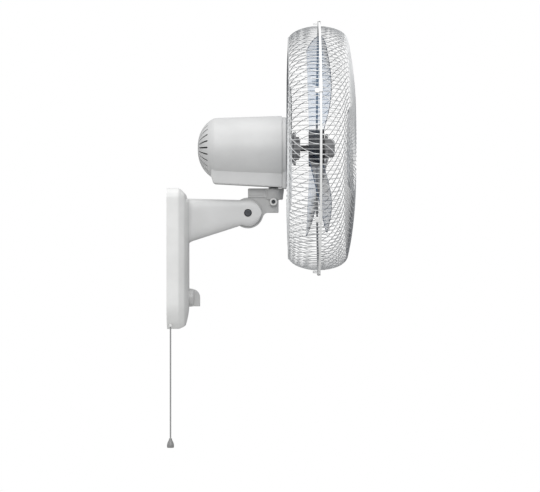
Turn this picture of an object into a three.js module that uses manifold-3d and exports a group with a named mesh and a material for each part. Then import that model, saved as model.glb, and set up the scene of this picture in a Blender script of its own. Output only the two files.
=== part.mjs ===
// A wall mounted fan: a box on the wall, an arm with a fork, a tilting neck, a swinging head and a caged rotor.
// Millimetres. +X points out from the wall, +Z up. The origin is the centre of the plate's wall face.
import * as THREE from "three";
import { mergeVertices } from "three/addons/utils/BufferGeometryUtils.js";
import Module from "manifold-3d";

const wasm = await Module();
wasm.setup();

// ---- Clearances
const SEAT = 0.3; // between two pieces that rest on each other
const RUN = 0.4; // round a shaft that turns in its bore

// ---- The box on the wall
const BASE = {
  width: 140,
  height: 249.2,
  depth: 21, // of the straight side wall
  chamfer: 9.6,
  dome: 7.2, // rise of the front inside the chamfer
  domeRun: 46, // how far in from the chamfer the front has levelled out
  topCorner: 18,
  bottomCorner: 45,
  wall: 2.6,
};
const PLATE = {
  thickness: 2.5,
  screwHole: 3,
  keyhole: 6,
  keyholeSpan: 90,
  keyholeDrop: 34, // below the box's top
  keyholeRise: 2, // of the hanging slot above the keyhole's edge
  lowerScrew: 18, // above the box's bottom
  grommetHole: 7,
  grommetAcross: 30,
  grommetRise: 34, // above the box's bottom
  grommetLip: 2.5,
};
const CORD = {
  x: 6.5,
  y: -50,
  radius: 1.3,
  hangs: 199,
  bushRadius: 3.6,
  bushLength: 9,
  bushInside: 6, // of its length, above the box's bottom skin
  switchTop: -60,
  leverLength: 24,
  leverDrop: 34, // of its lower end, below the switch's top
};
const PULL = { radius: 6.35, length: 17 };
const KNOB = { height: -69.6, radius: 16.6, skirt: 9, length: 19.6, recess: 18.4, recessDepth: 2.4, spindle: 3 };
const SWITCH = { radius: 14.5, depth: 17 };

// ---- The arm and its fork
const ARM = {
  reach: 142.7, // wall to tilt axis
  height: 81, // tilt axis above the box's middle
  eye: 24.2, // radius of the ears
  rootTop: 26.4, // top edge above the tilt axis at the box
  rootBottom: -52, // bottom edge below the tilt axis at the box
  rootHalfWidth: 30,
  earHalfWidth: 21,
  flare: 9,
  core: 22, // half width of the square tube that runs into the box
  coreHeight: 48,
  coreMiddle: -14.1, // below the tilt axis
  channel: 7,
  channelDrop: 12, // of the wires' way, below the tilt axis
};
const BOLT = { radius: 4, head: 6.4, headDepth: 4, nutDepth: 5, recess: 7, recessDepth: 5.5 };
const WASHER = { radius: 15, thickness: 1.2 };

// ---- The neck
const NECK = {
  tongue: 9.5, // half thickness between the washers
  disc: 27.3, // radius of the tongue about the tilt axis
  top: 43.6, // upper face above the tilt axis
  blockBottom: 27,
  blockHalfWidth: 17,
  groove: 31,
  webBottom: 0.3,
  webHalfWidth: 14,
  webFront: 54.3,
  swing: 45.3, // tilt axis to swing axis
  collar: 19,
  collarHeight: 20,
  grooveDepth: 0.7,
  grooveHalf: 0.6,
  sweepOut: 8, // of the rib's rounded root, beyond the tongue
};
const LOCK = { drop: 24, boss: 7, recess: 3.9, screw: 3, reach: 20 };
const SHAFT = { swivel: 6, motor: 4 };
const COLLAR_WASHER = { radius: 8.6, thickness: 1.6 };

// ---- The motor head; X is counted from the swing axis and Z from the fan axis
const FAN_HEIGHT = 115; // fan axis above tilt axis
const HOUSING = {
  rear: -134.7,
  domeLength: 30.6,
  domeRadius: 53.9,
  seam: 14.8,
  seamRadius: 57.8,
  front: 23.2,
  frontRadius: 55.4,
  wall: 2.5,
};
const VENTS = { count: 24, width: 2.2, inner: [14, 25], outer: [28, 46.5] };
const CHIN = { halfWidth: 35.4, rear: -110.5, lean: 4.1, rearDepth: -63.2, frontDepth: -69.8 };
const NOSE = { radius: 15, end: 44 };
const MOTOR = {
  rear: -78,
  stack: 40,
  stator: 41,
  rotor: 22,
  air: 0.5,
  coil: 16,
  bellRadius: 43,
  bell: 26,
  bellWall: 3,
};
const BEARING = { outer: 11, width: 7 };
const ANCHOR = { length: 10, plate: 2.6, pin: 1.75, eye: 4 };
const DRIVE = { behind: 62, radius: 19, height: 12.6, link: 1.8, eyeWall: 1.9 };

// ---- Guards
const WIRE = { half: 1.2, count: 22, twist: 52 };
const REAR_GUARD = { hub: 34, plate: 23.5, mid: 112, face: 26.5, faceRadius: 189 };
const RIM = { plane: 81, band: 5, radius: 216.1, depth: 10.5, half: 1.3 };
const CLAMP_INNER = RIM.radius - RIM.half - SEAT;
const CLAMP_OUTER = CLAMP_INNER + RIM.depth;
const FRONT_GUARD = {
  badge: 67,
  badgePlane: 134.5,
  crown: 144.3,
  crownRadius: 100,
  shoulder: 130.9,
  shoulderRadius: 195.4,
};
const NUT = { start: 26.2, flange: 30, flangeDepth: 11, radius: 18, end: 47.4, ribs: 8 };
const CLIP = { count: 6, first: 26, length: 20, reach: 14, cover: 2.4, hook: 2.2, foot: 2 };

// ---- Rotor
const HUB = { rear: 62.7, front: 90, radius: 32.5, flange: 34, flangeDepth: 2.7, sleeve: 5.4, sleeveRear: 47.9 };
const BLADES = {
  count: 3,
  radius: 200,
  drum: 36.5,
  drumWall: 3.4,
  drumRear: 59.7,
  thickness: 2,
  rootAngle: 31,
  tipAngle: 23.5,
  tipRound: 15, // how far the corners at the tip fall back
  rearGap: 4.3, // rear edge in front of the drum's rear, at the root
  rearLean: 4.5, // how far the rear edge leans back to the tip
  rise: 24, // rear edge to front edge at the root
  swell: 17.5, // what the middle of the blade rises more
  camber: 2.5,
};
const SPINNER = { length: 18.6, radius: 17, nose: 13, lobe: 25, lobeDepth: 5.6 };
const DRIVE_PIN = { radius: 1.5, halfLength: 10, x: 66 };

const PIVOT = new THREE.Vector3(ARM.reach, 0, ARM.height);
const RADIANS = Math.PI / 180;

// ================================================================ geometry helpers

// A closed solid from any geometry: vertices merged, flat slivers left out, faces turned outwards.
function solid(geometry) {
  const bare = new THREE.BufferGeometry();
  bare.setAttribute("position", geometry.getAttribute("position"));
  if (geometry.index) bare.setIndex(geometry.index);
  const merged = mergeVertices(bare, 1e-4);
  const at = merged.getAttribute("position");
  const corners = Array.from(merged.index.array);
  const faces = [];
  let volume = 0;
  for (let i = 0; i < corners.length; i += 3) {
    const [a, b, c] = corners.slice(i, i + 3);
    if (a === b || b === c || a === c) continue;
    faces.push([a, b, c]);
    const [p, q, r] = [a, b, c].map((k) => new THREE.Vector3().fromBufferAttribute(at, k));
    volume += p.dot(q.cross(r));
  }
  const triVerts = Uint32Array.from(faces.flatMap(([a, b, c]) => (volume < 0 ? [a, c, b] : [a, b, c])));
  const mesh = new wasm.Mesh({ numProp: 3, vertProperties: Float32Array.from(at.array), triVerts });
  return new wasm.Manifold(mesh);
}

function join(...solids) {
  return solids.reduce((whole, next) => whole.add(next));
}

function cut(body, ...tools) {
  return tools.reduce((left, tool) => left.subtract(tool), body);
}

// Turns a shape made along its own Y (cylinders, revolves) so that it runs along the named axis.
function turned(geometry, axis) {
  if (axis === "X") geometry.rotateZ(-Math.PI / 2);
  if (axis === "Z") geometry.rotateX(Math.PI / 2);
  return geometry;
}

// Facets round a circle: more on a larger one.
const facets = (radius) => 2 * Math.round(2.3 + 1.15 * Math.sqrt(radius));

function rod(axis, radius, from, to, centre, sides = facets(radius)) {
  const geometry = new THREE.CylinderGeometry(radius, radius, Math.abs(to - from), sides);
  const [low, high] = [(from + to) / 2, centre];
  const place = { X: [low, high[0], high[1]], Y: [high[0], low, high[1]], Z: [high[0], high[1], low] }[axis];
  return solid(turned(geometry, axis).translate(...place));
}

// Turns a profile of [along, radius] points about an axis through the centre.
function revolve(axis, profile, centre = [0, 0], sides = facets(Math.max(...profile.map(([, radius]) => radius)))) {
  const points = profile.map(([along, radius]) => new THREE.Vector2(radius, along));
  const onAxis = points[0].x === 0 && points[points.length - 1].x === 0;
  if (!onAxis) points.push(points[0].clone());
  const geometry = turned(new THREE.LatheGeometry(points, sides), axis);
  const place = { X: [0, centre[0], centre[1]], Y: [centre[0], 0, centre[1]], Z: [centre[0], centre[1], 0] }[axis];
  return solid(geometry.translate(...place));
}

function ringAbout(axis, inner, outer, from, to, centre = [0, 0]) {
  return revolve(axis, [[from, inner], [to, inner], [to, outer], [from, outer]], centre);
}

function block(x, y, z) {
  const size = [x, y, z].map(([low, high]) => high - low);
  const middle = [x, y, z].map(([low, high]) => (low + high) / 2);
  return solid(new THREE.BoxGeometry(...size).translate(...middle));
}

// Pushes an outline along an axis: its two coordinates are Y, Z for axis X, X, Z for axis Y, and X, Y for axis Z.
function prism(axis, outline, from, to, round = 0) {
  const shape = outline instanceof THREE.Shape ? outline : new THREE.Shape(outline.map(([u, v]) => new THREE.Vector2(u, v)));
  const depth = to - from - 2 * round;
  const options = { depth, curveSegments: 8, bevelEnabled: round > 0, bevelSegments: 2 };
  Object.assign(options, { bevelThickness: round, bevelSize: round, bevelOffset: -round });
  const geometry = new THREE.ExtrudeGeometry(shape, options).translate(0, 0, round);
  const [X, Y, Z] = [new THREE.Vector3(1, 0, 0), new THREE.Vector3(0, 1, 0), new THREE.Vector3(0, 0, 1)];
  const basis = { X: [Y, Z, X], Y: [X, Z, Y.clone().negate()], Z: [X, Y, Z] }[axis];
  geometry.applyMatrix4(new THREE.Matrix4().makeBasis(...basis));
  const start = { X: [from, 0, 0], Y: [0, to, 0], Z: [0, 0, from] }[axis];
  return solid(geometry.translate(...start));
}

// Skins a row of sections, each a loop of as many points, and closes both ends on their middles.
function loft(sections) {
  const count = sections[0].length;
  const points = sections.flat();
  const middle = (loop) => loop.reduce((sum, p) => sum.add(p), new THREE.Vector3()).divideScalar(count);
  const faces = [];
  for (let s = 0; s + 1 < sections.length; s++)
    for (let k = 0; k < count; k++) {
      const [a, b] = [s * count + k, s * count + ((k + 1) % count)];
      faces.push(a, b, b + count, a, b + count, a + count);
    }
  for (const [s, flip] of [[0, true], [sections.length - 1, false]]) {
    points.push(middle(sections[s]));
    for (let k = 0; k < count; k++) {
      const [a, b] = [s * count + k, s * count + ((k + 1) % count)];
      faces.push(points.length - 1, ...(flip ? [b, a] : [a, b]));
    }
  }
  const geometry = new THREE.BufferGeometry().setFromPoints(points);
  geometry.setIndex(faces);
  return solid(geometry);
}

// ================================================================ finishes

const finish = (color, roughness, metalness = 0) => new THREE.MeshStandardMaterial({ color, roughness, metalness });
const FINISH = {
  white: finish(0xe9e9e9, 0.45),
  grey: finish(0xa6a6a6, 0.5),
  darkGrey: finish(0x4c4c4e, 0.55),
  black: finish(0x17171a, 0.4),
  wire: finish(0xd9dadb, 0.35),
  clip: finish(0xf6f6f6, 0.4),
  blade: new THREE.MeshStandardMaterial({ color: 0xbcd2ea, roughness: 0.15, transparent: true, opacity: 0.5 }),
  steel: finish(0xb4b7ba, 0.35, 0.9),
  zinc: finish(0xc8ccd0, 0.4, 0.8),
  laminations: finish(0x6f7377, 0.6, 0.6),
  copper: finish(0xb0632e, 0.4, 0.8),
  brass: finish(0xc9a85c, 0.35, 0.9),
  cord: finish(0x9c9c9c, 0.8),
};

const fan = new THREE.Group();
const base = new THREE.Group();
const neck = new THREE.Group();
const head = new THREE.Group();
const rotor = new THREE.Group();
neck.position.copy(PIVOT);
head.position.set(NECK.swing, 0, FAN_HEIGHT);
fan.add(base, neck);
neck.add(head);
head.add(rotor);

function piece(parent, name, shape, material) {
  const { vertProperties, triVerts } = shape.getMesh();
  const geometry = new THREE.BufferGeometry();
  geometry.setAttribute("position", new THREE.BufferAttribute(vertProperties, 3));
  geometry.setIndex(new THREE.BufferAttribute(triVerts, 1));
  const faceted = geometry.toNonIndexed();
  faceted.computeVertexNormals();
  const mesh = new THREE.Mesh(faceted, material);
  mesh.name = name;
  parent.add(mesh);
  return mesh;
}

// ================================================================ the box on the wall

// The box's outline, drawn in by an inset: a rectangle with small round corners above and large ones below.
function baseOutline(inset) {
  const steps = 4;
  const half = { y: BASE.width / 2 - inset, z: BASE.height / 2 - inset };
  const corners = [[1, 1, BASE.topCorner], [-1, 1, BASE.topCorner], [-1, -1, BASE.bottomCorner], [1, -1, BASE.bottomCorner]];
  return corners.flatMap(([sideY, sideZ, corner], quarter) => {
    const radius = Math.min(Math.max(corner - inset, 2), half.y - 1, half.z - 1);
    return Array.from({ length: steps + 1 }, (_, k) => {
      const angle = (quarter + k / steps) * (Math.PI / 2);
      return [sideY * (half.y - radius) + radius * Math.cos(angle), sideZ * (half.z - radius) + radius * Math.sin(angle)];
    });
  });
}

// How far the front stands out at an inset: up the chamfer, then over the dome.
function frontAt(inset) {
  if (inset <= BASE.chamfer) return BASE.depth + inset;
  const t = Math.min((inset - BASE.chamfer) / BASE.domeRun, 1);
  return BASE.depth + BASE.chamfer + BASE.dome * (1 - (1 - t) ** 2.5);
}
const FRONT = frontAt(BASE.width / 2);

// The box's whole form, moved outwards by grow all over and started at the given X.
function baseForm(grow, startX) {
  const section = (x, inset) => baseOutline(inset - grow).map(([y, z]) => new THREE.Vector3(x, y, z));
  const insets = [0, BASE.chamfer, ...[0.2, 0.44, 0.8].map((share) => BASE.chamfer + share * BASE.domeRun)];
  return loft([section(startX, 0), ...insets.map((inset) => section(frontAt(inset) + grow, inset))]);
}

const coreSection = (grow) => {
  const [y, z] = [ARM.core + grow, ARM.coreHeight / 2 + grow];
  const middle = ARM.height + ARM.coreMiddle;
  return [[-y, middle - z], [y, middle - z], [y, middle + z], [-y, middle + z]];
};

function makeBaseCover() {
  const shell = cut(baseForm(0, 0), baseForm(-BASE.wall, -1));
  const cup = rod("X", KNOB.recess + BASE.wall, FRONT - BASE.wall - KNOB.recessDepth, FRONT - 0.6, [0, KNOB.height]);
  const recess = rod("X", KNOB.recess, FRONT - KNOB.recessDepth, FRONT + 5, [0, KNOB.height]);
  const spindleHole = rod("X", KNOB.spindle + RUN, 0, FRONT + 5, [0, KNOB.height]);
  const armHole = prism("X", coreSection(SEAT), BASE.depth, FRONT + 5);
  const bushHole = rod("Z", CORD.bushRadius + SEAT, -BASE.height / 2 - 5, CORD_EXIT + 2 * CORD.bushInside, [CORD.x, CORD.y]);
  return cut(join(shell, cup), recess, spindleHole, armHole, bushHole);
}

// Height of the box's outer wall where the cord leaves it, on the round bottom corner.
const CORD_EXIT = (() => {
  const across = Math.abs(CORD.y) - (BASE.width / 2 - BASE.bottomCorner);
  return -BASE.height / 2 + BASE.bottomCorner - Math.sqrt(BASE.bottomCorner ** 2 - Math.max(across, 0) ** 2);
})();

const GROMMET = [PLATE.grommetAcross, -BASE.height / 2 + PLATE.grommetRise]; // where the mains lead comes in

function makeWallPlate() {
  const plate = prism("X", baseOutline(BASE.wall + SEAT), 0, PLATE.thickness);
  const keyholes = [-1, 1].flatMap((side) => {
    const y = (side * PLATE.keyholeSpan) / 2;
    const z = BASE.height / 2 - PLATE.keyholeDrop;
    return [
      rod("X", PLATE.keyhole, -1, PLATE.thickness + 1, [y, z]),
      rod("X", PLATE.screwHole, -1, PLATE.thickness + 1, [y, z + PLATE.keyhole + PLATE.keyholeRise]),
    ];
  });
  const lower = rod("X", PLATE.screwHole, -1, PLATE.thickness + 1, [0, -BASE.height / 2 + PLATE.lowerScrew]);
  const sides = facets(PLATE.grommetHole + PLATE.grommetLip); // as on the grommet
  const grommet = rod("X", PLATE.grommetHole + SEAT, -1, PLATE.thickness + 1, GROMMET, sides);
  return cut(plate, ...keyholes, lower, grommet);
}

function makeSwitches() {
  const back = FRONT - KNOB.recessDepth - BASE.wall - SEAT; // where the speed switch meets the cover
  const body = rod("X", SWITCH.radius, back - SWITCH.depth, back, [0, KNOB.height]);
  const bore = rod("X", KNOB.spindle + RUN, back - SWITCH.depth + 4, back + 1, [0, KNOB.height]);
  piece(base, "speed_switch", cut(body, bore), FINISH.black);

  const spindle = rod("X", KNOB.spindle, back - SWITCH.depth + 5, FRONT + KNOB.length - 6, [0, KNOB.height]);
  const flat = block([FRONT + 4, FRONT + KNOB.length], [-9, 9], [KNOB.height + KNOB.spindle - 1, KNOB.height + 9]);
  piece(base, "switch_spindle", cut(spindle, flat), FINISH.brass);

  const inside = PLATE.thickness + SEAT;
  const top = CORD.switchTop;
  const housing = block([inside, inside + 14], [CORD.y - 9, CORD.y + 11], [top - 26, top]);
  const [deep, across] = [2.2 + RUN, 3 + RUN];
  const slot = block([CORD.x - deep, CORD.x + deep], [CORD.y - across, CORD.y + across], [top - 27, top - 4]);
  piece(base, "pull_switch", cut(housing, slot), FINISH.black);
  const foot = top - CORD.leverDrop;
  const lever = block([CORD.x - 2.2, CORD.x + 2.2], [CORD.y - 3, CORD.y + 3], [foot, foot + CORD.leverLength]);
  piece(base, "pull_lever", lever, FINISH.white);
}

function makeCord() {
  const start = CORD.switchTop - CORD.leverDrop - SEAT;
  const end = CORD_EXIT - CORD.hangs;
  const route = new THREE.LineCurve3(new THREE.Vector3(CORD.x, CORD.y, start), new THREE.Vector3(CORD.x, CORD.y, end));
  const centre = new THREE.Vector2();
  const corner = (_, k) => new THREE.Vector2(CORD.radius, 0).rotateAround(centre, (k * Math.PI) / 4);
  const section = new THREE.Shape(Array.from({ length: 8 }, corner));
  const tube = new THREE.ExtrudeGeometry(section, { steps: 12, extrudePath: route });
  piece(base, "pull_cord", solid(tube), FINISH.cord);

  const [top, radius] = [end - SEAT, PULL.radius];
  const bell = [[top, 0], [top, radius * 0.4], [top - 3, radius * 0.45], [top - 7, radius * 0.8], [top - 12, radius]];
  bell.push([top - PULL.length, radius * 0.96], [top - PULL.length, 0]);
  piece(base, "pull_bell", revolve("Z", bell, [CORD.x, CORD.y]), FINISH.grey);

  const bushTop = CORD_EXIT + CORD.bushInside;
  const bore = CORD.radius + RUN;
  const bush = ringAbout("Z", bore, CORD.bushRadius, bushTop - CORD.bushLength, bushTop, [CORD.x, CORD.y]);
  piece(base, "cord_outlet_bush", bush, FINISH.white);
}

function makeElectrics() {
  const inside = PLATE.thickness + SEAT;
  piece(base, "run_capacitor", block([inside, inside + 18], [34, 62], [-24, 16]), FINISH.black);
  const terminals = join(
    block([inside, inside + 8], [-24, 24], [-36, -20]),
    ...[-18, -9, 0, 9, 18].map((y) => block([inside + 7, inside + 13], [y - 3.5, y + 3.5], [-34, -22])),
  );
  piece(base, "terminal_block", terminals, FINISH.white);
  const [hole, lip] = [PLATE.grommetHole, PLATE.grommetLip];
  const profile = [[0, hole - lip], [0, hole], [inside, hole], [inside, hole + lip]];
  profile.push([inside + lip, hole + lip], [inside + lip, hole - lip]);
  piece(base, "mains_grommet", revolve("X", profile, GROMMET), FINISH.black);
}

// The knob's skirt is round; its grip is a bar whose top falls away to the front.
function makeKnob() {
  const floor = FRONT - KNOB.recessDepth + SEAT + 1.4;
  const step = FRONT + KNOB.skirt;
  const tip = FRONT + KNOB.length;
  const profile = [[floor, 0], [floor, KNOB.radius - 0.6], [step, KNOB.radius - 2], [step, 0]];
  const skirt = revolve("X", profile, [0, KNOB.height]);
  const side = new THREE.Shape();
  side.moveTo(step - 1, KNOB.height - KNOB.radius + 1.2);
  side.lineTo(tip, KNOB.height - KNOB.radius + 1.2);
  side.lineTo(tip, KNOB.height + 2);
  side.quadraticCurveTo(tip - 1.5, KNOB.height + KNOB.radius - 3, step - 1, KNOB.height + KNOB.radius - 2);
  const grip = prism("Y", side, -5, 5, 1);
  const bore = rod("X", KNOB.spindle + SEAT, floor - 1, tip - 5, [0, KNOB.height]);
  piece(base, "speed_knob", cut(join(skirt, grip), bore), FINISH.grey);
}

// ================================================================ the arm

// A rounded box section between two heights: a superellipse.
function armSection(x, low, high, halfWidth) {
  const count = 16;
  const power = 0.42;
  const round = (value) => Math.sign(value) * Math.abs(value) ** power;
  return Array.from({ length: count }, (_, k) => {
    const angle = (2 * Math.PI * (k + 0.5)) / count;
    const y = halfWidth * round(Math.cos(angle));
    return new THREE.Vector3(x, y, (low + high) / 2 + ((high - low) / 2) * round(Math.sin(angle)));
  });
}

function makeArm() {
  const start = FRONT - 8;
  const bend = ARM.reach - 11; // where the edges run into the round ears
  const low = (x) => ARM.height + ARM.rootBottom + ((x - FRONT) / (bend - FRONT)) * (-ARM.eye + 2.4 - ARM.rootBottom);
  const high = (x) => ARM.height + ARM.rootTop + ((x - FRONT) / (bend - FRONT)) * (ARM.eye - 1.2 - ARM.rootTop);
  const wide = (x) => ARM.rootHalfWidth + ((x - FRONT) / (bend - FRONT)) * (ARM.earHalfWidth - ARM.rootHalfWidth);
  const flareAt = (x) => {
    const t = Math.min(Math.max((x - FRONT + 2) / ARM.flare, 0), 1);
    return ARM.flare * (1 - Math.sqrt(1 - (1 - t) ** 2));
  };
  const straight = [start, FRONT - 1, FRONT + 1.5, FRONT + 7, bend];
  const sections = straight.map((x) => armSection(x, low(x) - flareAt(x), high(x) + flareAt(x), wide(x) + flareAt(x)));
  for (const angle of [100, 72, 48, 28, 12, 4]) {
    const x = ARM.reach + ARM.eye * Math.cos(angle * RADIANS);
    const rise = ARM.eye * Math.sin(angle * RADIANS);
    sections.push(armSection(x, ARM.height - rise, ARM.height + rise, ARM.earHalfWidth));
  }
  const outside = cut(loft(sections), baseForm(SEAT, -1));
  const core = prism("X", coreSection(0), PLATE.thickness + SEAT, FRONT + 12);
  const foot = prism("X", coreSection(6), PLATE.thickness + SEAT, PLATE.thickness + SEAT + 3);

  const slotHalf = NECK.tongue + WASHER.thickness + 2 * SEAT;
  const slotBack = NECK.disc + 1.2;
  const slot = join(
    rod("Y", slotBack, -slotHalf, slotHalf, [ARM.reach, ARM.height]),
    block([ARM.reach, ARM.reach + ARM.eye + 9], [-slotHalf, slotHalf], [ARM.height - slotBack, ARM.height + slotBack]),
  );
  const boltHole = rod("Y", BOLT.radius + SEAT, -ARM.earHalfWidth - 1, ARM.earHalfWidth + 1, [ARM.reach, ARM.height]);
  const recesses = [-1, 1].map((side) => {
    const [a, b] = [side * (ARM.earHalfWidth - BOLT.recessDepth), side * (ARM.earHalfWidth + 2)];
    return rod("Y", BOLT.recess, Math.min(a, b), Math.max(a, b), [ARM.reach, ARM.height]);
  });
  const wireWay = rod("X", ARM.channel, PLATE.thickness, ARM.reach, [0, ARM.height - ARM.channelDrop]);
  piece(base, "support_arm", cut(join(outside, core, foot), slot, boltHole, ...recesses, wireWay), FINISH.white);
}

function makeTiltBolt() {
  const seat = ARM.earHalfWidth - BOLT.recessDepth + SEAT; // floor of each recess, from the middle
  const centre = [ARM.reach, ARM.height];
  const shank = rod("Y", BOLT.radius, -seat - 0.5, seat + BOLT.nutDepth - 1, centre);
  const boltHead = rod("Y", BOLT.head, -seat - BOLT.headDepth, -seat, centre);
  const socket = rod("Y", 2.6, -seat - BOLT.headDepth - 1, -seat - BOLT.headDepth + 2.4, centre, 6);
  piece(base, "tilt_bolt", cut(join(shank, boltHead), socket), FINISH.steel);
  const nut = rod("Y", BOLT.head, seat, seat + BOLT.nutDepth, centre, 6);
  const nutBore = rod("Y", BOLT.radius + SEAT, 0, seat + 9, centre);
  piece(base, "tilt_nut", cut(nut, nutBore), FINISH.zinc);
  for (const [side, name] of [[-1, "friction_washer_near"], [1, "friction_washer_far"]]) {
    const inner = side * (NECK.tongue + SEAT);
    const outer = side * (NECK.tongue + SEAT + WASHER.thickness);
    const ends = [Math.min(inner, outer), Math.max(inner, outer)];
    piece(base, name, ringAbout("Y", BOLT.radius + SEAT, WASHER.radius, ...ends, centre), FINISH.black);
  }
}

// ================================================================ the neck; its own origin is on the tilt axis

function makeNeck() {
  const tongue = rod("Y", NECK.disc, -NECK.tongue, NECK.tongue, [0, 0]);
  const web = new THREE.Shape();
  web.moveTo(0, 0);
  web.lineTo(0, NECK.blockBottom + 2);
  web.lineTo(NECK.webFront, NECK.blockBottom + 2);
  web.lineTo(NECK.webFront, NECK.webBottom);
  web.lineTo(NECK.disc + NECK.sweepOut, NECK.webBottom);
  web.quadraticCurveTo(NECK.disc + NECK.sweepOut / 8, NECK.webBottom, NECK.disc * 0.93, -NECK.disc * 0.36);
  const rib = prism("Y", web, -NECK.tongue, NECK.tongue);
  const webTop = NECK.blockBottom + 2;
  const rearWeb = block([NECK.disc + 3, NECK.webFront], [-NECK.webHalfWidth, NECK.webHalfWidth], [NECK.webBottom, webTop]);
  const wide = NECK.blockHalfWidth;
  const upper = block([0, NECK.swing], [-wide, wide], [NECK.blockBottom, NECK.top]);
  const collarProfile = [[NECK.top - NECK.collarHeight, 0], [NECK.top - NECK.collarHeight, NECK.collar - 2.5]];
  collarProfile.push([NECK.top - 1, NECK.collar], [NECK.top, NECK.collar - 1], [NECK.top, 0]);
  const collar = revolve("Z", collarProfile, [NECK.swing, 0]);
  const lockHeight = NECK.top - LOCK.drop;
  const boss = rod("Y", LOCK.boss, -LOCK.reach, 0, [NECK.swing, lockHeight]);

  const bore = rod("Z", SHAFT.swivel + SEAT, NECK.webBottom + 4, NECK.top + 1, [NECK.swing, 0]);
  const boltBore = rod("Y", BOLT.radius + RUN, -NECK.tongue - 1, NECK.tongue + 1, [0, 0]);
  const lockBore = rod("Y", LOCK.screw + SEAT, -LOCK.reach - 1, 0, [NECK.swing, lockHeight]);
  const lockRecess = rod("Y", LOCK.recess, -LOCK.reach - 1, -LOCK.reach + 3, [NECK.swing, lockHeight]);
  const grooves = [-1, 1].map((side) => {
    const [a, b] = [side * (wide - NECK.grooveDepth), side * (wide + 1)];
    const height = [NECK.groove - NECK.grooveHalf, NECK.groove + NECK.grooveHalf];
    return block([-1, NECK.swing - NECK.collar + 1], [Math.min(a, b), Math.max(a, b)], height);
  });
  const body = join(tongue, rib, rearWeb, upper, collar, boss);
  piece(neck, "tilt_bracket", cut(body, bore, boltBore, lockBore, lockRecess, ...grooves), FINISH.grey);

  const screw = rod("Y", LOCK.screw, -LOCK.reach + 3.2, -SHAFT.swivel - SEAT, [NECK.swing, lockHeight]);
  const drive = rod("Y", 1.6, -LOCK.reach + 2, -LOCK.reach + 5, [NECK.swing, lockHeight], 6);
  piece(neck, "swivel_lock_screw", cut(screw, drive), FINISH.steel);
}

const CHIN_AT_SWING = chinFloor(0); // chin's underside at the swing axis, from the fan axis
const BUSH_TOP = CHIN_AT_SWING + 12.5; // top of the swivel bush

// The chin's underside falls towards the front in a straight line.
function chinFloor(x) {
  const rear = CHIN.rear + CHIN.lean;
  return CHIN.rearDepth + ((x - rear) / (HOUSING.seam - rear)) * (CHIN.frontDepth - CHIN.rearDepth);
}

// The shaft stands fast in the neck and carries, inside the chin, the lever that the swing drive pushes on.
function makeSwivelShaft() {
  const bottom = NECK.webBottom + 4 + SEAT;
  const lever = FAN_HEIGHT + BUSH_TOP + SEAT; // underside of the anchor lever
  const shaft = rod("Z", SHAFT.swivel, bottom, lever + ANCHOR.plate + 1.5, [NECK.swing, 0]);
  piece(neck, "swivel_shaft", shaft, FINISH.steel);

  const top = lever + ANCHOR.plate;
  const arm = join(
    rod("Z", SHAFT.swivel + 4, lever, top, [NECK.swing, 0]),
    block([NECK.swing - ANCHOR.eye, NECK.swing + ANCHOR.eye], [-ANCHOR.length, 0], [lever, top]),
    rod("Z", ANCHOR.eye, lever, top, [NECK.swing, -ANCHOR.length]),
    rod("Z", ANCHOR.pin, lever, FAN_HEIGHT + LINK_LEVEL + DRIVE.link + 0.8, [NECK.swing, -ANCHOR.length]),
  );
  const bore = rod("Z", SHAFT.swivel + SEAT, lever - 1, top + 1, [NECK.swing, 0]);
  piece(neck, "anchor_lever", cut(arm, bore), FINISH.zinc);

  const low = NECK.top + SEAT;
  const { radius, thickness } = COLLAR_WASHER;
  const washer = ringAbout("Z", SHAFT.swivel + SEAT, radius, low, low + thickness, [NECK.swing, 0]);
  piece(neck, "collar_washer", washer, FINISH.black);
}

// ================================================================ the swing drive; heights are from the fan axis

const DRIVE_FLOOR = chinFloor(-DRIVE.behind - DRIVE.radius) + HOUSING.wall + SEAT;
const CRANK_LEVEL = DRIVE_FLOOR + DRIVE.height + SEAT;
const LINK_LEVEL = CRANK_LEVEL + 2.2 + SEAT;
// The crank turns twice as far as the head, so its pin keeps near the anchor's over 45 degrees each way.
const CRANK_RADIUS = ANCHOR.length * Math.SQRT1_2;
const CRANK_Y = -ANCHOR.length / 2;
const LINK_SLACK = Math.abs(CRANK_Y - CRANK_RADIUS + ANCHOR.length) + RUN; // room for the anchor pin in the link's eye

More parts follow.
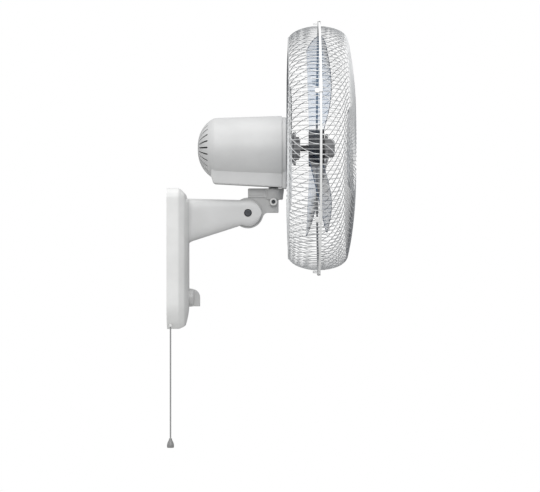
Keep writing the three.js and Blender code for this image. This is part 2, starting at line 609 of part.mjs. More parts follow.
function makeSwingDrive() {
  const centre = [-DRIVE.behind, CRANK_Y];
  const gearbox = rod("Z", DRIVE.radius, DRIVE_FLOOR, DRIVE_FLOOR + DRIVE.height, centre);
  const spindleHole = rod("Z", 3 + RUN, DRIVE_FLOOR + 3, DRIVE_FLOOR + DRIVE.height + 1, centre);
  piece(head, "swing_motor", cut(gearbox, spindleHole), FINISH.steel);

  const pin = [centre[0], centre[1] - CRANK_RADIUS];
  const crank = join(
    rod("Z", 3, DRIVE_FLOOR + 4, CRANK_LEVEL + 1, centre),
    rod("Z", 6, CRANK_LEVEL, CRANK_LEVEL + 2.2, centre),
    rod("Z", 4.5, CRANK_LEVEL, CRANK_LEVEL + 2.2, pin),
    block([centre[0] - 4.5, centre[0] + 4.5], [pin[1], centre[1]], [CRANK_LEVEL, CRANK_LEVEL + 2.2]),
    rod("Z", ANCHOR.pin, CRANK_LEVEL + 1, LINK_LEVEL + DRIVE.link + 0.6, pin),
  );
  piece(head, "swing_crank", crank, FINISH.zinc);

  const [low, high] = [LINK_LEVEL, LINK_LEVEL + DRIVE.link];
  const tip = [0, pin[1]];
  const eye = ANCHOR.pin + LINK_SLACK;
  const strap = block([pin[0], tip[0]], [pin[1] - 3.5, pin[1] + 3.5], [low, high]);
  const link = join(rod("Z", 5, low, high, pin), rod("Z", eye + DRIVE.eyeWall, low, high, tip), strap);
  const pinHole = rod("Z", ANCHOR.pin + RUN, low - 1, high + 1, pin);
  const slackHole = rod("Z", eye, low - 1, high + 1, tip);
  piece(head, "swing_link", cut(link, pinHole, slackHole), FINISH.zinc);
}

// ================================================================ the motor housing; its origin is on the fan axis and swing axis

// The dome falls away from its pole as a superellipse, and the barrel widens slightly towards the front.
function housingProfile(inset) {
  const reach = HOUSING.domeLength - inset;
  const radius = HOUSING.domeRadius - inset;
  const dome = [0, 0.49, 0.74, 0.9, 1].map((share) => {
    const x = HOUSING.rear + HOUSING.domeLength - reach * (1 - share ** 2.4) ** 0.76;
    return [x, radius * share];
  });
  return [...dome, [HOUSING.seam + (inset > 0 ? 1 : 0), HOUSING.seamRadius - inset]];
}

function chinOutline(inset) {
  const rearTop = [CHIN.rear + inset, -30];
  return [
    rearTop,
    [CHIN.rear + inset, -50],
    [CHIN.rear + CHIN.lean + inset, CHIN.rearDepth + inset],
    [HOUSING.seam + (inset > 0 ? 1 : 0), CHIN.frontDepth + inset],
    [HOUSING.seam + (inset > 0 ? 1 : 0), -30],
  ];
}

function makeRearCover() {
  const skin = (inset) => {
    const profile = housingProfile(inset);
    profile.push([profile[profile.length - 1][0], 0]);
    const width = CHIN.halfWidth - inset;
    const sides = VENTS.count; // each slot lies in the middle of a facet
    const shell = revolve("X", profile, [0, 0], sides).rotate([180 / sides, 0, 0]);
    return join(shell, prism("Y", chinOutline(inset), -width, width, inset > 0 ? 0 : 1.5));
  };
  const shell = cut(skin(0), skin(HOUSING.wall));
  const slots = [];
  for (let k = 0; k < VENTS.count; k++)
    for (const [near, far] of [VENTS.inner, VENTS.outer]) {
      const slot = new THREE.BoxGeometry(HOUSING.domeLength, VENTS.width, far - near);
      slot.translate(HOUSING.rear + HOUSING.domeLength * 0.1, 0, (near + far) / 2);
      slots.push(solid(slot.rotateX((k / VENTS.count) * 2 * Math.PI)));
    }
  const swivelHole = rod("Z", BRACKET_BUSH + SEAT, CHIN.frontDepth - 5, CHIN_AT_SWING + HOUSING.wall + 3, [0, 0]);
  piece(head, "rear_cover", cut(shell, ...slots, swivelHole), FINISH.white);
}

const BRACKET_BUSH = 10.5; // outer radius of the swivel bracket's bush
const BELL_FRONT = MOTOR.rear + MOTOR.stack + MOTOR.bell; // front face of the front end bell

function makeFrontCover() {
  const [rear, front] = [HOUSING.seam + SEAT, HOUSING.front];
  const postRear = BELL_FRONT + SEAT;
  const profile = [
    [postRear, BEARING.outer + 4],
    [postRear, BEARING.outer + 8],
    [rear, BEARING.outer + 10],
    [rear, HOUSING.frontRadius],
    [front - 1.5, HOUSING.frontRadius],
    [front, HOUSING.frontRadius - 1.5],
    [front, NOSE.radius],
    [NOSE.end, NOSE.radius],
    [NOSE.end, SHAFT.motor + 1.2],
    [front - 4, SHAFT.motor + 1.2],
    [front - 4, BEARING.outer + 4],
  ];
  const chinSide = [[rear, -30], [rear, CHIN.frontDepth - 1], [front, CHIN.frontDepth - 2.4], [front, -30]];
  const chin = prism("Y", chinSide, -CHIN.halfWidth, CHIN.halfWidth);
  piece(head, "front_cover", join(revolve("X", profile, [0, 0]), chin), FINISH.white);
}

// A casting behind the front cover: its bush turns on the swivel shaft and carries the whole head.
function makeSwivelBracket() {
  const low = CHIN_AT_SWING + 0.2;
  const bush = rod("Z", BRACKET_BUSH, low, BUSH_TOP, [0, 0]);
  const web = block([0, HOUSING.seam], [-8, 8], [CHIN_AT_SWING + HOUSING.wall + 1.2, BUSH_TOP]);
  const flange = block([HOUSING.seam - 3, HOUSING.seam], [-24, 24], [CHIN.frontDepth + HOUSING.wall + 1.6, BUSH_TOP]);
  const bore = rod("Z", SHAFT.swivel + RUN, low - 1, BUSH_TOP + 1, [0, 0]);
  piece(head, "swivel_bracket", cut(join(bush, web, flange), bore), FINISH.zinc);
}

// ================================================================ the motor

function makeMotor() {
  const [rear, front] = [MOTOR.rear, MOTOR.rear + MOTOR.stack];
  piece(head, "stator", ringAbout("X", MOTOR.rotor + MOTOR.air, MOTOR.stator, rear, front, [0, 0]), FINISH.laminations);
  const coil = (from, to) => {
    const [inner, outer, soft] = [MOTOR.rotor + 3, MOTOR.stator - 7, 2];
    const profile = [[from, inner], [to - soft, inner], [to, inner + soft]];
    profile.push([to, outer - soft], [to - soft, outer], [from, outer]);
    return revolve("X", profile, [0, 0], 16);
  };
  piece(head, "rear_winding", coil(rear - SEAT, rear - SEAT - MOTOR.coil), FINISH.copper);
  piece(head, "front_winding", coil(front + SEAT, front + SEAT + MOTOR.coil), FINISH.copper);

  // A bell is a cup: its rim clamps the stator and its middle holds a bearing.
  const bell = (start, way, name) => {
    const at = (depth) => start + way * depth;
    const profile = [
      [at(SEAT), MOTOR.bellRadius - MOTOR.bellWall - 1.4],
      [at(SEAT), MOTOR.bellRadius],
      [at(MOTOR.bell - 4), MOTOR.bellRadius - 3],
      [at(MOTOR.bell), MOTOR.bellRadius - 7],
      [at(MOTOR.bell), BEARING.outer + SEAT],
      [at(MOTOR.bell - BEARING.width), BEARING.outer + SEAT],
      [at(MOTOR.bell - MOTOR.bellWall), MOTOR.bellRadius - 9],
    ];
    piece(head, name, revolve("X", profile, [0, 0], 16), FINISH.zinc);
  };
  bell(rear, -1, "rear_end_bell");
  bell(front, 1, "front_end_bell");
  for (const [end, way, name] of [[rear, -1, "rear_bearing"], [front, 1, "front_bearing"]]) {
    const from = end + way * (MOTOR.bell - BEARING.width);
    const to = end + way * MOTOR.bell;
    const ends = [Math.min(from, to), Math.max(from, to)];
    piece(head, name, ringAbout("X", SHAFT.motor + RUN, BEARING.outer, ...ends, [0, 0]), FINISH.brass);
  }
  piece(rotor, "rotor_core", ringAbout("X", SHAFT.motor + SEAT, MOTOR.rotor, rear, front, [0, 0]), FINISH.laminations);
}

// ================================================================ guards

// A point of the cage: along the fan axis, out from it, and round it from +Z towards +Y.
const around = (x, radius, angle) => new THREE.Vector3(x, radius * Math.sin(angle), radius * Math.cos(angle));

class Cage {
  corners = [];

  // Two triangles on four corners, turned so that they look away from a point inside the wire.
  face(a, b, c, d, inside) {
    const normal = b.clone().sub(a).cross(c.clone().sub(a)).add(c.clone().sub(a).cross(d.clone().sub(a)));
    const away = normal.dot(a.clone().add(c).multiplyScalar(0.5).sub(inside)) > 0;
    this.corners.push(...(away ? [a, b, c, a, c, d] : [a, c, b, a, d, c]));
  }

  // A square wire bent to a ring. Where a spoke meets it, the face on that side stays open.
  ring({ x, radius, half, turn }, openSides) {
    const signs = [[-1, -1], [1, -1], [1, 1], [-1, 1]];
    const spread = WIRE.half / radius;
    const wireAt = (k) => turn + ((k % WIRE.count) / WIRE.count) * 2 * Math.PI;
    const corner = (signX, signR, angle) => around(x + signX * half, radius + signR * half, angle);
    const stretch = (from, to, open) => {
      const inside = around(x, radius, from).add(around(x, radius, to)).multiplyScalar(0.5);
      ["inner", "front", "outer", "rear"].forEach((side, i) => {
        if (open.includes(side)) return;
        const [[sx, sr], [nx, nr]] = [signs[i], signs[(i + 1) % 4]];
        this.face(corner(sx, sr, from), corner(nx, nr, from), corner(nx, nr, to), corner(sx, sr, to), inside);
      });
    };
    for (let k = 0; k < WIRE.count; k++) {
      stretch(wireAt(k) - spread, wireAt(k) + spread, openSides);
      stretch(wireAt(k) + spread, wireAt(k + 1) - spread, []);
    }
  }
}

// The rear guard's wires run out over the flat back, round the shoulder and forward to the rim.
const quadratic = (...points) => new THREE.QuadraticBezierCurve(...points.map((p) => new THREE.Vector2(...p)));
const REAR_RIM = { x: RIM.plane - RIM.band / 2 - SEAT - RIM.half, radius: RIM.radius, half: RIM.half };
const FRONT_RIM = { x: RIM.plane + RIM.band / 2 + SEAT + RIM.half, radius: RIM.radius, half: RIM.half };
const REAR_HUB = { x: REAR_GUARD.plate + RIM.half, radius: REAR_GUARD.hub, half: RIM.half };
const REAR_MID = { x: REAR_GUARD.face - 1, radius: REAR_GUARD.mid, half: RIM.half };
const FRONT_HUB = { x: FRONT_GUARD.badgePlane, radius: FRONT_GUARD.badge, half: RIM.half };
const rearShoulder = quadratic(
  [REAR_GUARD.face, REAR_GUARD.faceRadius],
  [REAR_GUARD.face + 3.5, RIM.radius - 6.6],
  [REAR_RIM.x - 4, RIM.radius],
);
const frontShoulder = quadratic(
  [FRONT_RIM.x + 4, RIM.radius],
  [FRONT_GUARD.shoulder - 7, RIM.radius - 4],
  [FRONT_GUARD.shoulder, FRONT_GUARD.shoulderRadius],
);
const frontFace = quadratic(
  [FRONT_GUARD.shoulder, FRONT_GUARD.shoulderRadius],
  [FRONT_GUARD.crown - 4, FRONT_GUARD.shoulderRadius - 37],
  [FRONT_GUARD.crown, FRONT_GUARD.crownRadius],
);
const frontRecess = quadratic(
  [FRONT_GUARD.crown, FRONT_GUARD.crownRadius],
  [FRONT_GUARD.crown + 1, FRONT_GUARD.crownRadius - 20],
  [FRONT_HUB.x, FRONT_HUB.radius + 3],
);

// How far a wire has turned round the axis, by how far it has come in from the rim.
function twistAt(radius, x, rimX) {
  const way = RIM.radius - radius + 0.35 * Math.abs(x - rimX);
  return WIRE.twist * RADIANS * (Math.max(way, 0) / RIM.radius) ** 1.3;
}

// Builds the wires between two rings along a path of [x, radius] points, the ring ends included.
function spokes(cage, path, first, last, rimX) {
  const half = WIRE.half;
  const count = path.length;
  const sections = path.map(([x, radius], i) => {
    const [before, after] = [path[Math.max(i - 1, 0)], path[Math.min(i + 1, count - 1)]];
    const along = new THREE.Vector2(after[0] - before[0], after[1] - before[1]).normalize();
    return { x, radius, normal: [along.y, -along.x], half, turn: twistAt(radius, x, rimX) };
  });
  for (const [ring, end] of [[first, 0], [last, count - 1]]) {
    const section = sections[end];
    section.turn = ring.turn;
    const facesOut = ring.side === "inner" || ring.side === "outer";
    section.normal = facesOut ? [Math.sign(section.normal[0]), 0] : [0, Math.sign(section.normal[1])];
    section.half = ring.half;
    section.spread = half / ring.radius;
  }
  for (let k = 0; k < WIRE.count; k++) {
    const start = (2 * Math.PI * k) / WIRE.count;
    const loops = sections.map(({ x, radius, normal, half: thick, turn, spread = half / radius }) => {
      const [nx, nr] = normal;
      return [[-1, -1], [-1, 1], [1, 1], [1, -1]].map(([side, up]) =>
        around(x + up * nx * thick, radius + up * nr * thick, turn + start + side * spread),
      );
    });
    for (let i = 0; i + 1 < count; i++) {
      const inside = [...loops[i], ...loops[i + 1]].reduce((sum, p) => sum.add(p), new THREE.Vector3()).divideScalar(8);
      for (let s = 0; s < 4; s++)
        cage.face(loops[i][s], loops[i][(s + 1) % 4], loops[i + 1][(s + 1) % 4], loops[i + 1][s], inside);
    }
  }
}

// A ring's side that a spoke leaves from, as a point of the spoke's path.
function ringSide(ring, side) {
  const shift = { inner: [0, -1], outer: [0, 1], front: [1, 0], rear: [-1, 0] }[side];
  return [ring.x + shift[0] * ring.half, ring.radius + shift[1] * ring.half];
}

function wireGuard(stops, rimX) {
  const cage = new Cage();
  const rings = stops.map(({ ring }) => ({ ...ring, turn: twistAt(ring.radius, ring.x, rimX) }));
  stops.forEach(({ arrive, leave }, i) => cage.ring(rings[i], [arrive, leave]));
  for (let i = 0; i + 1 < stops.length; i++) {
    const [from, to] = [stops[i], stops[i + 1]];
    const path = [ringSide(from.ring, from.leave), ...from.path, ringSide(to.ring, to.arrive)];
    spokes(cage, path, { ...rings[i], side: from.leave }, { ...rings[i + 1], side: to.arrive }, rimX);
  }
  return solid(new THREE.BufferGeometry().setFromPoints(cage.corners));
}

const along = (curve, shares) => shares.map((t) => curve.getPoint(t).toArray());

function makeGuards() {
  const hubPath = [[(REAR_HUB.x + REAR_MID.x) / 2, (REAR_GUARD.hub + REAR_GUARD.mid) / 2]];
  const backPath = [[REAR_MID.x + 0.6, (REAR_GUARD.mid + REAR_GUARD.faceRadius) / 2]];
  backPath.push(...along(rearShoulder, [0, 0.33, 0.66]));
  const rear = wireGuard(
    [
      { ring: REAR_HUB, leave: "outer", path: hubPath },
      { ring: REAR_MID, arrive: "inner", leave: "outer", path: backPath },
      { ring: REAR_RIM, arrive: "rear" },
    ],
    REAR_RIM.x,
  );
  const plate = ringAbout("X", NOSE.radius + SEAT, REAR_GUARD.hub, REAR_GUARD.plate, REAR_GUARD.plate + 2.4, [0, 0]);
  piece(head, "rear_guard", join(rear, plate), FINISH.wire);

  const facePath = [...along(frontShoulder, [0.35, 0.7]), ...along(frontFace, [0, 0.4]), ...along(frontRecess, [0, 0.55])];
  const front = wireGuard(
    [
      { ring: FRONT_RIM, leave: "front", path: facePath },
      { ring: FRONT_HUB, arrive: "outer" },
    ],
    FRONT_RIM.x,
  );
  piece(head, "front_guard", front, FINISH.wire);

  const x = FRONT_HUB.x;
  const edge = (FRONT_GUARD.badge - RIM.half) * Math.cos(Math.PI / WIRE.count) - SEAT; // inside the flats of its ring
  const badge = [[x - 2, 0], [x - 2, edge], [x + 1, edge], [x + 4, edge * 0.75], [x + 5, 0]];
  piece(head, "front_badge_disc", revolve("X", badge, [0, 0]), FINISH.clip);
  const half = RIM.band / 2;
  const band = ringAbout("X", CLAMP_INNER, CLAMP_OUTER, RIM.plane - half, RIM.plane + half);
  piece(head, "clamp_ring", band, FINISH.clip);
}

// Each clip is a channel over the clamp ring, with a wider hook over both rims at one end.
function makeClips() {
  const half = CLIP.length / 2;
  const out = CLAMP_OUTER + SEAT;
  const [rear, front] = [RIM.plane - RIM.band / 2, RIM.plane + RIM.band / 2];
  const foot = RIM.radius + RIM.half + CLIP.foot;
  for (let k = 0; k < CLIP.count; k++) {
    const back = block([rear - CLIP.cover, front + CLIP.cover], [-half, half], [out, out + CLIP.cover]);
    const legs = [
      block([rear - SEAT - CLIP.hook, rear - SEAT], [-half, half], [foot, out + CLIP.cover]),
      block([front + SEAT, front + SEAT + CLIP.hook], [-half, half], [foot, out + CLIP.cover]),
    ];
    const wing = block([RIM.plane - CLIP.reach / 2, RIM.plane + CLIP.reach / 2], [-half, 0], [out, out + CLIP.cover]);
    const hooks = [-1, 1].map((side) => {
      const [a, b] = [RIM.plane + (side * CLIP.reach) / 2, RIM.plane + side * (CLIP.reach / 2 - CLIP.hook)];
      return block([Math.min(a, b), Math.max(a, b)], [-half, 0], [foot, out + CLIP.cover]);
    });
    const turn = 270 + CLIP.first + (k * 360) / CLIP.count;
    const clip = join(back, ...legs, wing, ...hooks).rotate([-turn, 0, 0]);
    piece(head, `guard_clip_${k + 1}`, clip, FINISH.clip);
  }
}

function makeGuardNut() {
  const start = NUT.start;
  const profile = [
    [start, NOSE.radius + SEAT],
    [start, NUT.flange - 2],
    [start + NUT.flangeDepth - 5, NUT.flange],
    [start + NUT.flangeDepth - 2, NUT.flange],
    [start + NUT.flangeDepth - 4, NUT.radius + 4],
    [start + NUT.flangeDepth, NUT.radius],
    [NUT.end, NUT.radius - 1],
    [NUT.end, SHAFT.motor + 4],
    [NOSE.end + 0.6, SHAFT.motor + 4],
    [NOSE.end + 0.6, NOSE.radius + SEAT],
  ];
  const ribs = Array.from({ length: NUT.ribs }, (_, k) => {
    const rib = new THREE.BoxGeometry(NUT.end - start - 5, 2.4, 4);
    rib.translate((start + NUT.end - 1) / 2, 0, NUT.radius + 0.6);
    return solid(rib.rotateX((k / NUT.ribs) * 2 * Math.PI));
  });
  piece(head, "guard_nut", join(revolve("X", profile, [0, 0]), ...ribs), FINISH.darkGrey);
}

// ================================================================ the rotor

// One blade as a closed skin: u runs from the leading edge (-1, at the back) to the trailing edge (1), v from drum to tip.
function bladeSkin(turn) {
  const [across, out] = [5, 6];
  const root = BLADES.drum - BLADES.drumWall / 2;
  const middleSurface = (u, v) => {
    const tip = BLADES.radius - BLADES.tipRound * Math.abs(u) ** 4;
    const radius = root + v * (tip - root);
    const sweep = BLADES.rootAngle + (BLADES.tipAngle - BLADES.rootAngle) * v;
    const angle = (turn - u * sweep) * RADIANS;
    const rearEdge = BLADES.drumRear + BLADES.rearGap - BLADES.rearLean * v;
    const rise = BLADES.rise * (1 + v / 16) + BLADES.swell * Math.sin(Math.PI * Math.min(v * 1.02, 1));
    return around(rearEdge + ((u + 1) / 2) * rise + BLADES.camber * (1 - u * u), radius, angle);
  };
  const points = [];
  for (const side of [-0.5, 0.5])
    for (let i = 0; i <= across; i++)
      for (let j = 0; j <= out; j++) {
        const point = middleSurface(-1 + (2 * i) / across, j / out);
        points.push(point.setX(point.x + side * BLADES.thickness));
      }
  const index = (side, i, j) => side * (across + 1) * (out + 1) + i * (out + 1) + j;
  const faces = [];
  const quad = (a, b, c, d) => faces.push(a, b, c, a, c, d);
  for (let i = 0; i < across; i++)
    for (let j = 0; j < out; j++) {
      quad(index(1, i, j), index(1, i + 1, j), index(1, i + 1, j + 1), index(1, i, j + 1));
      quad(index(0, i, j), index(0, i, j + 1), index(0, i + 1, j + 1), index(0, i + 1, j));
    }
  for (let i = 0; i < across; i++) {
    quad(index(0, i, 0), index(0, i + 1, 0), index(1, i + 1, 0), index(1, i, 0));
    quad(index(0, i + 1, out), index(0, i, out), index(1, i, out), index(1, i + 1, out));
  }
  for (let j = 0; j < out; j++) {
    quad(index(0, 0, j + 1), index(0, 0, j), index(1, 0, j), index(1, 0, j + 1));
    quad(index(0, across, j), index(0, across, j + 1), index(1, across, j + 1), index(1, across, j));
  }
  const geometry = new THREE.BufferGeometry().setFromPoints(points);
  geometry.setIndex(faces);
  return solid(geometry);
}

function makeRotor() {
  const shaftRear = MOTOR.rear - MOTOR.bell - 4;
  const shaftFront = HUB.front + SPINNER.length * 0.6;
  const pinHole = rod("Y", DRIVE_PIN.radius + SEAT, -9, 9, [DRIVE_PIN.x, 0]);
  piece(rotor, "motor_shaft", cut(rod("X", SHAFT.motor, shaftRear, shaftFront, [0, 0]), pinHole), FINISH.steel);
  const reach = DRIVE_PIN.halfLength;
  piece(rotor, "drive_pin", rod("Y", DRIVE_PIN.radius, -reach, reach, [DRIVE_PIN.x, 0]), FINISH.steel);

  const drumInner = BLADES.drum - BLADES.drumWall;
  const drumFront = HUB.front - HUB.flangeDepth - SEAT;
  const drum = ringAbout("X", drumInner, BLADES.drum, BLADES.drumRear, drumFront, [0, 0]);
  const trim = rod("X", drumInner, BLADES.drumRear - 20, drumFront + 20, [0, 0]);
  const blades = Array.from({ length: BLADES.count }, (_, k) => bladeSkin((k * 360) / BLADES.count));
  const flangeRoom = rod("X", HUB.flange + SEAT, drumFront, drumFront + 30, [0, 0]);
  piece(rotor, "fan_blades", cut(join(drum, ...blades), trim, flangeRoom), FINISH.blade);

  const hubRadius = Math.min(HUB.radius, drumInner - SEAT);
  const bore = SHAFT.motor + SEAT;
  const hub = [
    [HUB.sleeveRear, bore],
    [HUB.sleeveRear, HUB.sleeve],
    [HUB.rear, HUB.sleeve],
    [HUB.rear, hubRadius],
    [HUB.front - HUB.flangeDepth, hubRadius],
    [HUB.front - HUB.flangeDepth, HUB.flange],
    [HUB.front, HUB.flange],
    [HUB.front, bore],
  ];
  const [long, thick] = [reach + SEAT, DRIVE_PIN.radius + SEAT];
  const slot = rod("Y", thick, -long, long, [DRIVE_PIN.x, 0]);
  const slotWay = block([HUB.rear - 1, DRIVE_PIN.x], [-long, long], [-thick, thick]);
  piece(rotor, "hub_core", cut(revolve("X", hub, [0, 0]), slot, slotWay), FINISH.black);

  const foot = HUB.front + SEAT;
  const tip = foot + SPINNER.length;
  const spinner = [
    [foot, 0],
    [foot, SPINNER.radius + 1],
    [tip - 5, SPINNER.radius - 0.6],
    [tip - 0.8, SPINNER.nose + 0.8],
    [tip, SPINNER.nose - 1],
    [tip, 0],
  ];
  const lobes = Array.from({ length: 3 }, (_, k) => {
    const lobe = new THREE.BoxGeometry(SPINNER.lobeDepth, 11, SPINNER.lobe - SPINNER.radius + 4);
    lobe.translate(foot + 1.1 + SPINNER.lobeDepth / 2, 0, (SPINNER.lobe + SPINNER.radius - 4) / 2);
    return solid(lobe.rotateX((k / 3) * 2 * Math.PI));
  });
  const thread = rod("X", SHAFT.motor + SEAT, foot - 1, shaftFront + 1, [0, 0]);
  piece(rotor, "spinner", cut(join(revolve("X", spinner, [0, 0]), ...lobes), thread), FINISH.darkGrey);
}

// ================================================================ assembly

piece(base, "wall_plate", makeWallPlate(), FINISH.zinc);
piece(base, "base_cover", makeBaseCover(), FINISH.white);
makeSwitches();
makeElectrics();
makeCord();
makeKnob();
makeArm();
makeTiltBolt();
makeNeck();
makeSwivelShaft();
makeSwingDrive();
makeRearCover();
makeFrontCover();
makeSwivelBracket();
makeMotor();
makeGuards();
makeClips();
makeGuardNut();
makeRotor();

export default fan;
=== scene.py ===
"""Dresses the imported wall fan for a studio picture: every shell, wire, blade and finish that shows.

All shapes are worked out in millimetres in the fan's own frame: +X away from the wall, +Z up, and the origin
on the wall.
"""

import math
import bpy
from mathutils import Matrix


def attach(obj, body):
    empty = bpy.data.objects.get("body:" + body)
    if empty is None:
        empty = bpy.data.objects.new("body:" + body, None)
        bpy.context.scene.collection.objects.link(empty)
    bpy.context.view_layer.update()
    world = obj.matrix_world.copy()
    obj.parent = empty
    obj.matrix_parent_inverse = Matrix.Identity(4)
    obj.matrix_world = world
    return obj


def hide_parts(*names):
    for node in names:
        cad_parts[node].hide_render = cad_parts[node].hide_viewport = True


bl_info = {
    "name": "Wall Fan Dresser",
    "version": (1, 0, 0),
    "blender": (4, 5, 0),
    "location": "3D View > Sidebar > Wall Fan",
    "description": "Builds the pieces, finishes and studio of a wall mounted fan over its packed frame",
    "category": "Object",
}

import bmesh
import bpy
import numpy as np
from mathutils import Vector

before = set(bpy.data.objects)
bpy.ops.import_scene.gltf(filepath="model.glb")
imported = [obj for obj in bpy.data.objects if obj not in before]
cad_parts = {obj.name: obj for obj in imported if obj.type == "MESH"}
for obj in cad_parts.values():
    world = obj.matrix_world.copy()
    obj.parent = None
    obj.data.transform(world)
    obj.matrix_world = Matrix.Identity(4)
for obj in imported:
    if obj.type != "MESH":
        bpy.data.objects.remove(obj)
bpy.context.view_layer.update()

MM = 0.001
WALL = np.array([0.0, 0.0, 0.0])
TILT = np.array([142.7, 0.0, 81.0])  # axis of the tilt bolt
COLLAR = np.array([188.0, 0.0, 81.0])  # swing axis, at the tilt bolt's height
LOCK = COLLAR + (0.0, 0.0, 19.6)  # axis of the lock screw, across the collar
HEAD = np.array([188.0, 0.0, 196.0])  # where the swing axis and the fan axis cross

# The wall box
BOX_WIDTH, BOX_HEIGHT, BOX_SIDE, BOX_CHAMFER = 140.0, 249.2, 21.0, 9.6
BOX_DOME, BOX_DOME_RUN, BOX_TOP_CORNER, BOX_LOW_CORNER, BOX_SKIN = 7.2, 46.0, 18.0, 45.0, 2.6
BOX_FRONT = BOX_SIDE + BOX_CHAMFER + BOX_DOME
KNOB, KNOB_RECESS = np.array([0.0, 0.0, -69.6]), 18.4
CORD_X, CORD_Y, CORD_TOP, CORD_EXIT, CORD_END, CORD_RADIUS = 6.5, -50.0, -94.3, -117.0, -316.0, 1.3
CORD = np.array([CORD_X, CORD_Y, 0.0])

# The arm's fork: radius and half width of its ears, half its gap, and the gap's radius round the tilt axis
EAR_RADIUS, EAR_HALF_WIDTH, FORK_HALF_GAP, FORK_RADIUS = 24.2, 21.0, 11.3, 28.5

# The seam between the motor covers, counted along the fan axis from the swing axis
SEAM = 14.8

# The cage, counted along the fan axis from the swing axis
RIM_PLANE, RIM_RADIUS, RIM_WIRE, RING_RADIUS = 80.8, 216.1, 0.85, 225.0
REAR_RIM, FRONT_RIM = RIM_PLANE - 0.9, RIM_PLANE + 0.9
REAR_FACE, REAR_EDGE_RADIUS, REAR_HUB_RADIUS = 24.0, 197.0, 34.0
REAR_MID, REAR_MID_RADIUS = 32.0, 108.0
FRONT_HUB, FRONT_HUB_RADIUS, FRONT_EDGE, FRONT_EDGE_RADIUS = 134.5, 67.0, 130.9, 195.4

# Nearly all the values of a noise texture lie between these.
NOISE_LOW, NOISE_HIGH = 0.3, 0.7


# ---------------------------------------------------------------- shapes


def sRGB(text):
    """A colour written as hex digits, turned to linear light."""
    value = np.array([int(text[i : i + 2], 16) for i in (1, 3, 5)]) / 255
    return tuple(np.where(value <= 0.04045, value / 12.92, ((value + 0.055) / 1.055) ** 2.4))


def surface(points, close_rows=False, close_columns=False, caps=False):
    """A grid of points as a patch of quads, counted row by row. A batch of grids is one patch of many
    islands."""
    many = points if points.ndim == 4 else points[None]
    count, rows, columns = many.shape[:3]
    i = np.arange(rows if close_rows else rows - 1)[:, None]
    j = np.arange(columns if close_columns else columns - 1)[None, :]
    below, right = (i + 1) % rows, (j + 1) % columns
    quads = np.stack([i * columns + j, i * columns + right, below * columns + right, below * columns + j], -1)
    quads = quads.reshape(1, -1, 4) + (np.arange(count) * rows * columns)[:, None, None]
    faces = quads.reshape(-1, 4).tolist()
    if caps:
        last = (rows - 1) * columns
        faces += [list(range(columns))[::-1], list(range(last, last + columns))]
    return many.reshape(-1, 3), faces


def soften(corners, radius, steps=5, closed=True):
    """An outline with round corners: each is swept by the quadratic arc between points a radius away on its
    two sides."""
    c = np.asarray(corners, float)
    before, after = np.roll(c, 1, 0) - c, np.roll(c, -1, 0) - c
    lengths = [np.maximum(np.linalg.norm(side, axis=1, keepdims=True), 1e-9) for side in (before, after)]
    wanted = np.broadcast_to(np.reshape(radius, (-1, 1)), lengths[0].shape)
    reach = np.minimum(wanted, 0.49 * np.minimum(*lengths))
    if not closed:
        reach = reach.copy()
        reach[[0, -1]] = 0
    a, b = c + before / lengths[0] * reach, c + after / lengths[1] * reach
    t = np.linspace(0, 1, steps)[None, :, None]
    arcs = (1 - t) ** 2 * a[:, None] + 2 * t * (1 - t) * c[:, None] + t**2 * b[:, None]
    return arcs.reshape(-1, 2)


def place(axis, u, v, along, at):
    """Points from an outline's two coordinates and a third along the named axis. The outline lies in Y and Z,
    in X and Z, or in X and Y."""
    order = {"X": (along, u, v), "Y": (u, along, v), "Z": (u, v, along)}[axis]
    return np.stack(np.broadcast_arrays(*order), -1).astype(float) + np.asarray(at)


def lathe(profile, axis, at, sides=96, ring=False):
    """A profile of (along, radius) pairs turned about an axis: each point runs round at its radius."""
    along, radius = (column[:, None] for column in np.asarray(profile, float).T)
    turn = np.linspace(0, 2 * np.pi, sides, endpoint=False)[None, :]
    return surface(place(axis, radius * np.cos(turn), radius * np.sin(turn), along, at), ring, True)


def prism(outline, axis, low, high, at, edge=0.0, steps=3):
    """An outline pushed along an axis. At edge·(1 − cos a) from each end it is drawn in by edge·(1 − sin a),
    as a runs from 0 to a right angle."""
    line = np.asarray(outline, float)
    tangent = np.roll(line, -1, 0) - np.roll(line, 1, 0)
    tangent /= np.maximum(np.linalg.norm(tangent, axis=1, keepdims=True), 1e-9)
    area = np.sum(line[:, 0] * np.roll(line[:, 1], -1) - np.roll(line[:, 0], -1) * line[:, 1])
    inward = np.stack([-tangent[:, 1], tangent[:, 0]], -1) * np.sign(area)
    a = np.linspace(0, np.pi / 2, steps + 1) if edge else np.array([np.pi / 2])
    inset, depth = edge * (1 - np.sin(a)), edge * (1 - np.cos(a)) if edge else np.array([0.0])
    insets = np.concatenate([inset, inset[::-1]])[:, None, None]
    along = np.concatenate([low + depth, (high - depth)[::-1]])[:, None]
    section = line[None] + insets * inward[None]
    return surface(place(axis, section[..., 0], section[..., 1], along, at), False, True, caps=True)


def circle(radius, centre=(0, 0), sides=64):
    """A round outline."""
    turn = np.linspace(0, 2 * np.pi, sides, endpoint=False)
    return np.stack([centre[0] + radius * np.cos(turn), centre[1] + radius * np.sin(turn)], -1)


def box(u, v):
    """A rectangular outline from two ranges."""
    return [(u[0], v[0]), (u[1], v[0]), (u[1], v[1]), (u[0], v[1])]


def turned(outline, turn):
    """An outline turned about its origin, from its first coordinate towards its second."""
    return np.asarray(outline) @ np.array([[np.cos(turn), np.sin(turn)], [-np.sin(turn), np.cos(turn)]])


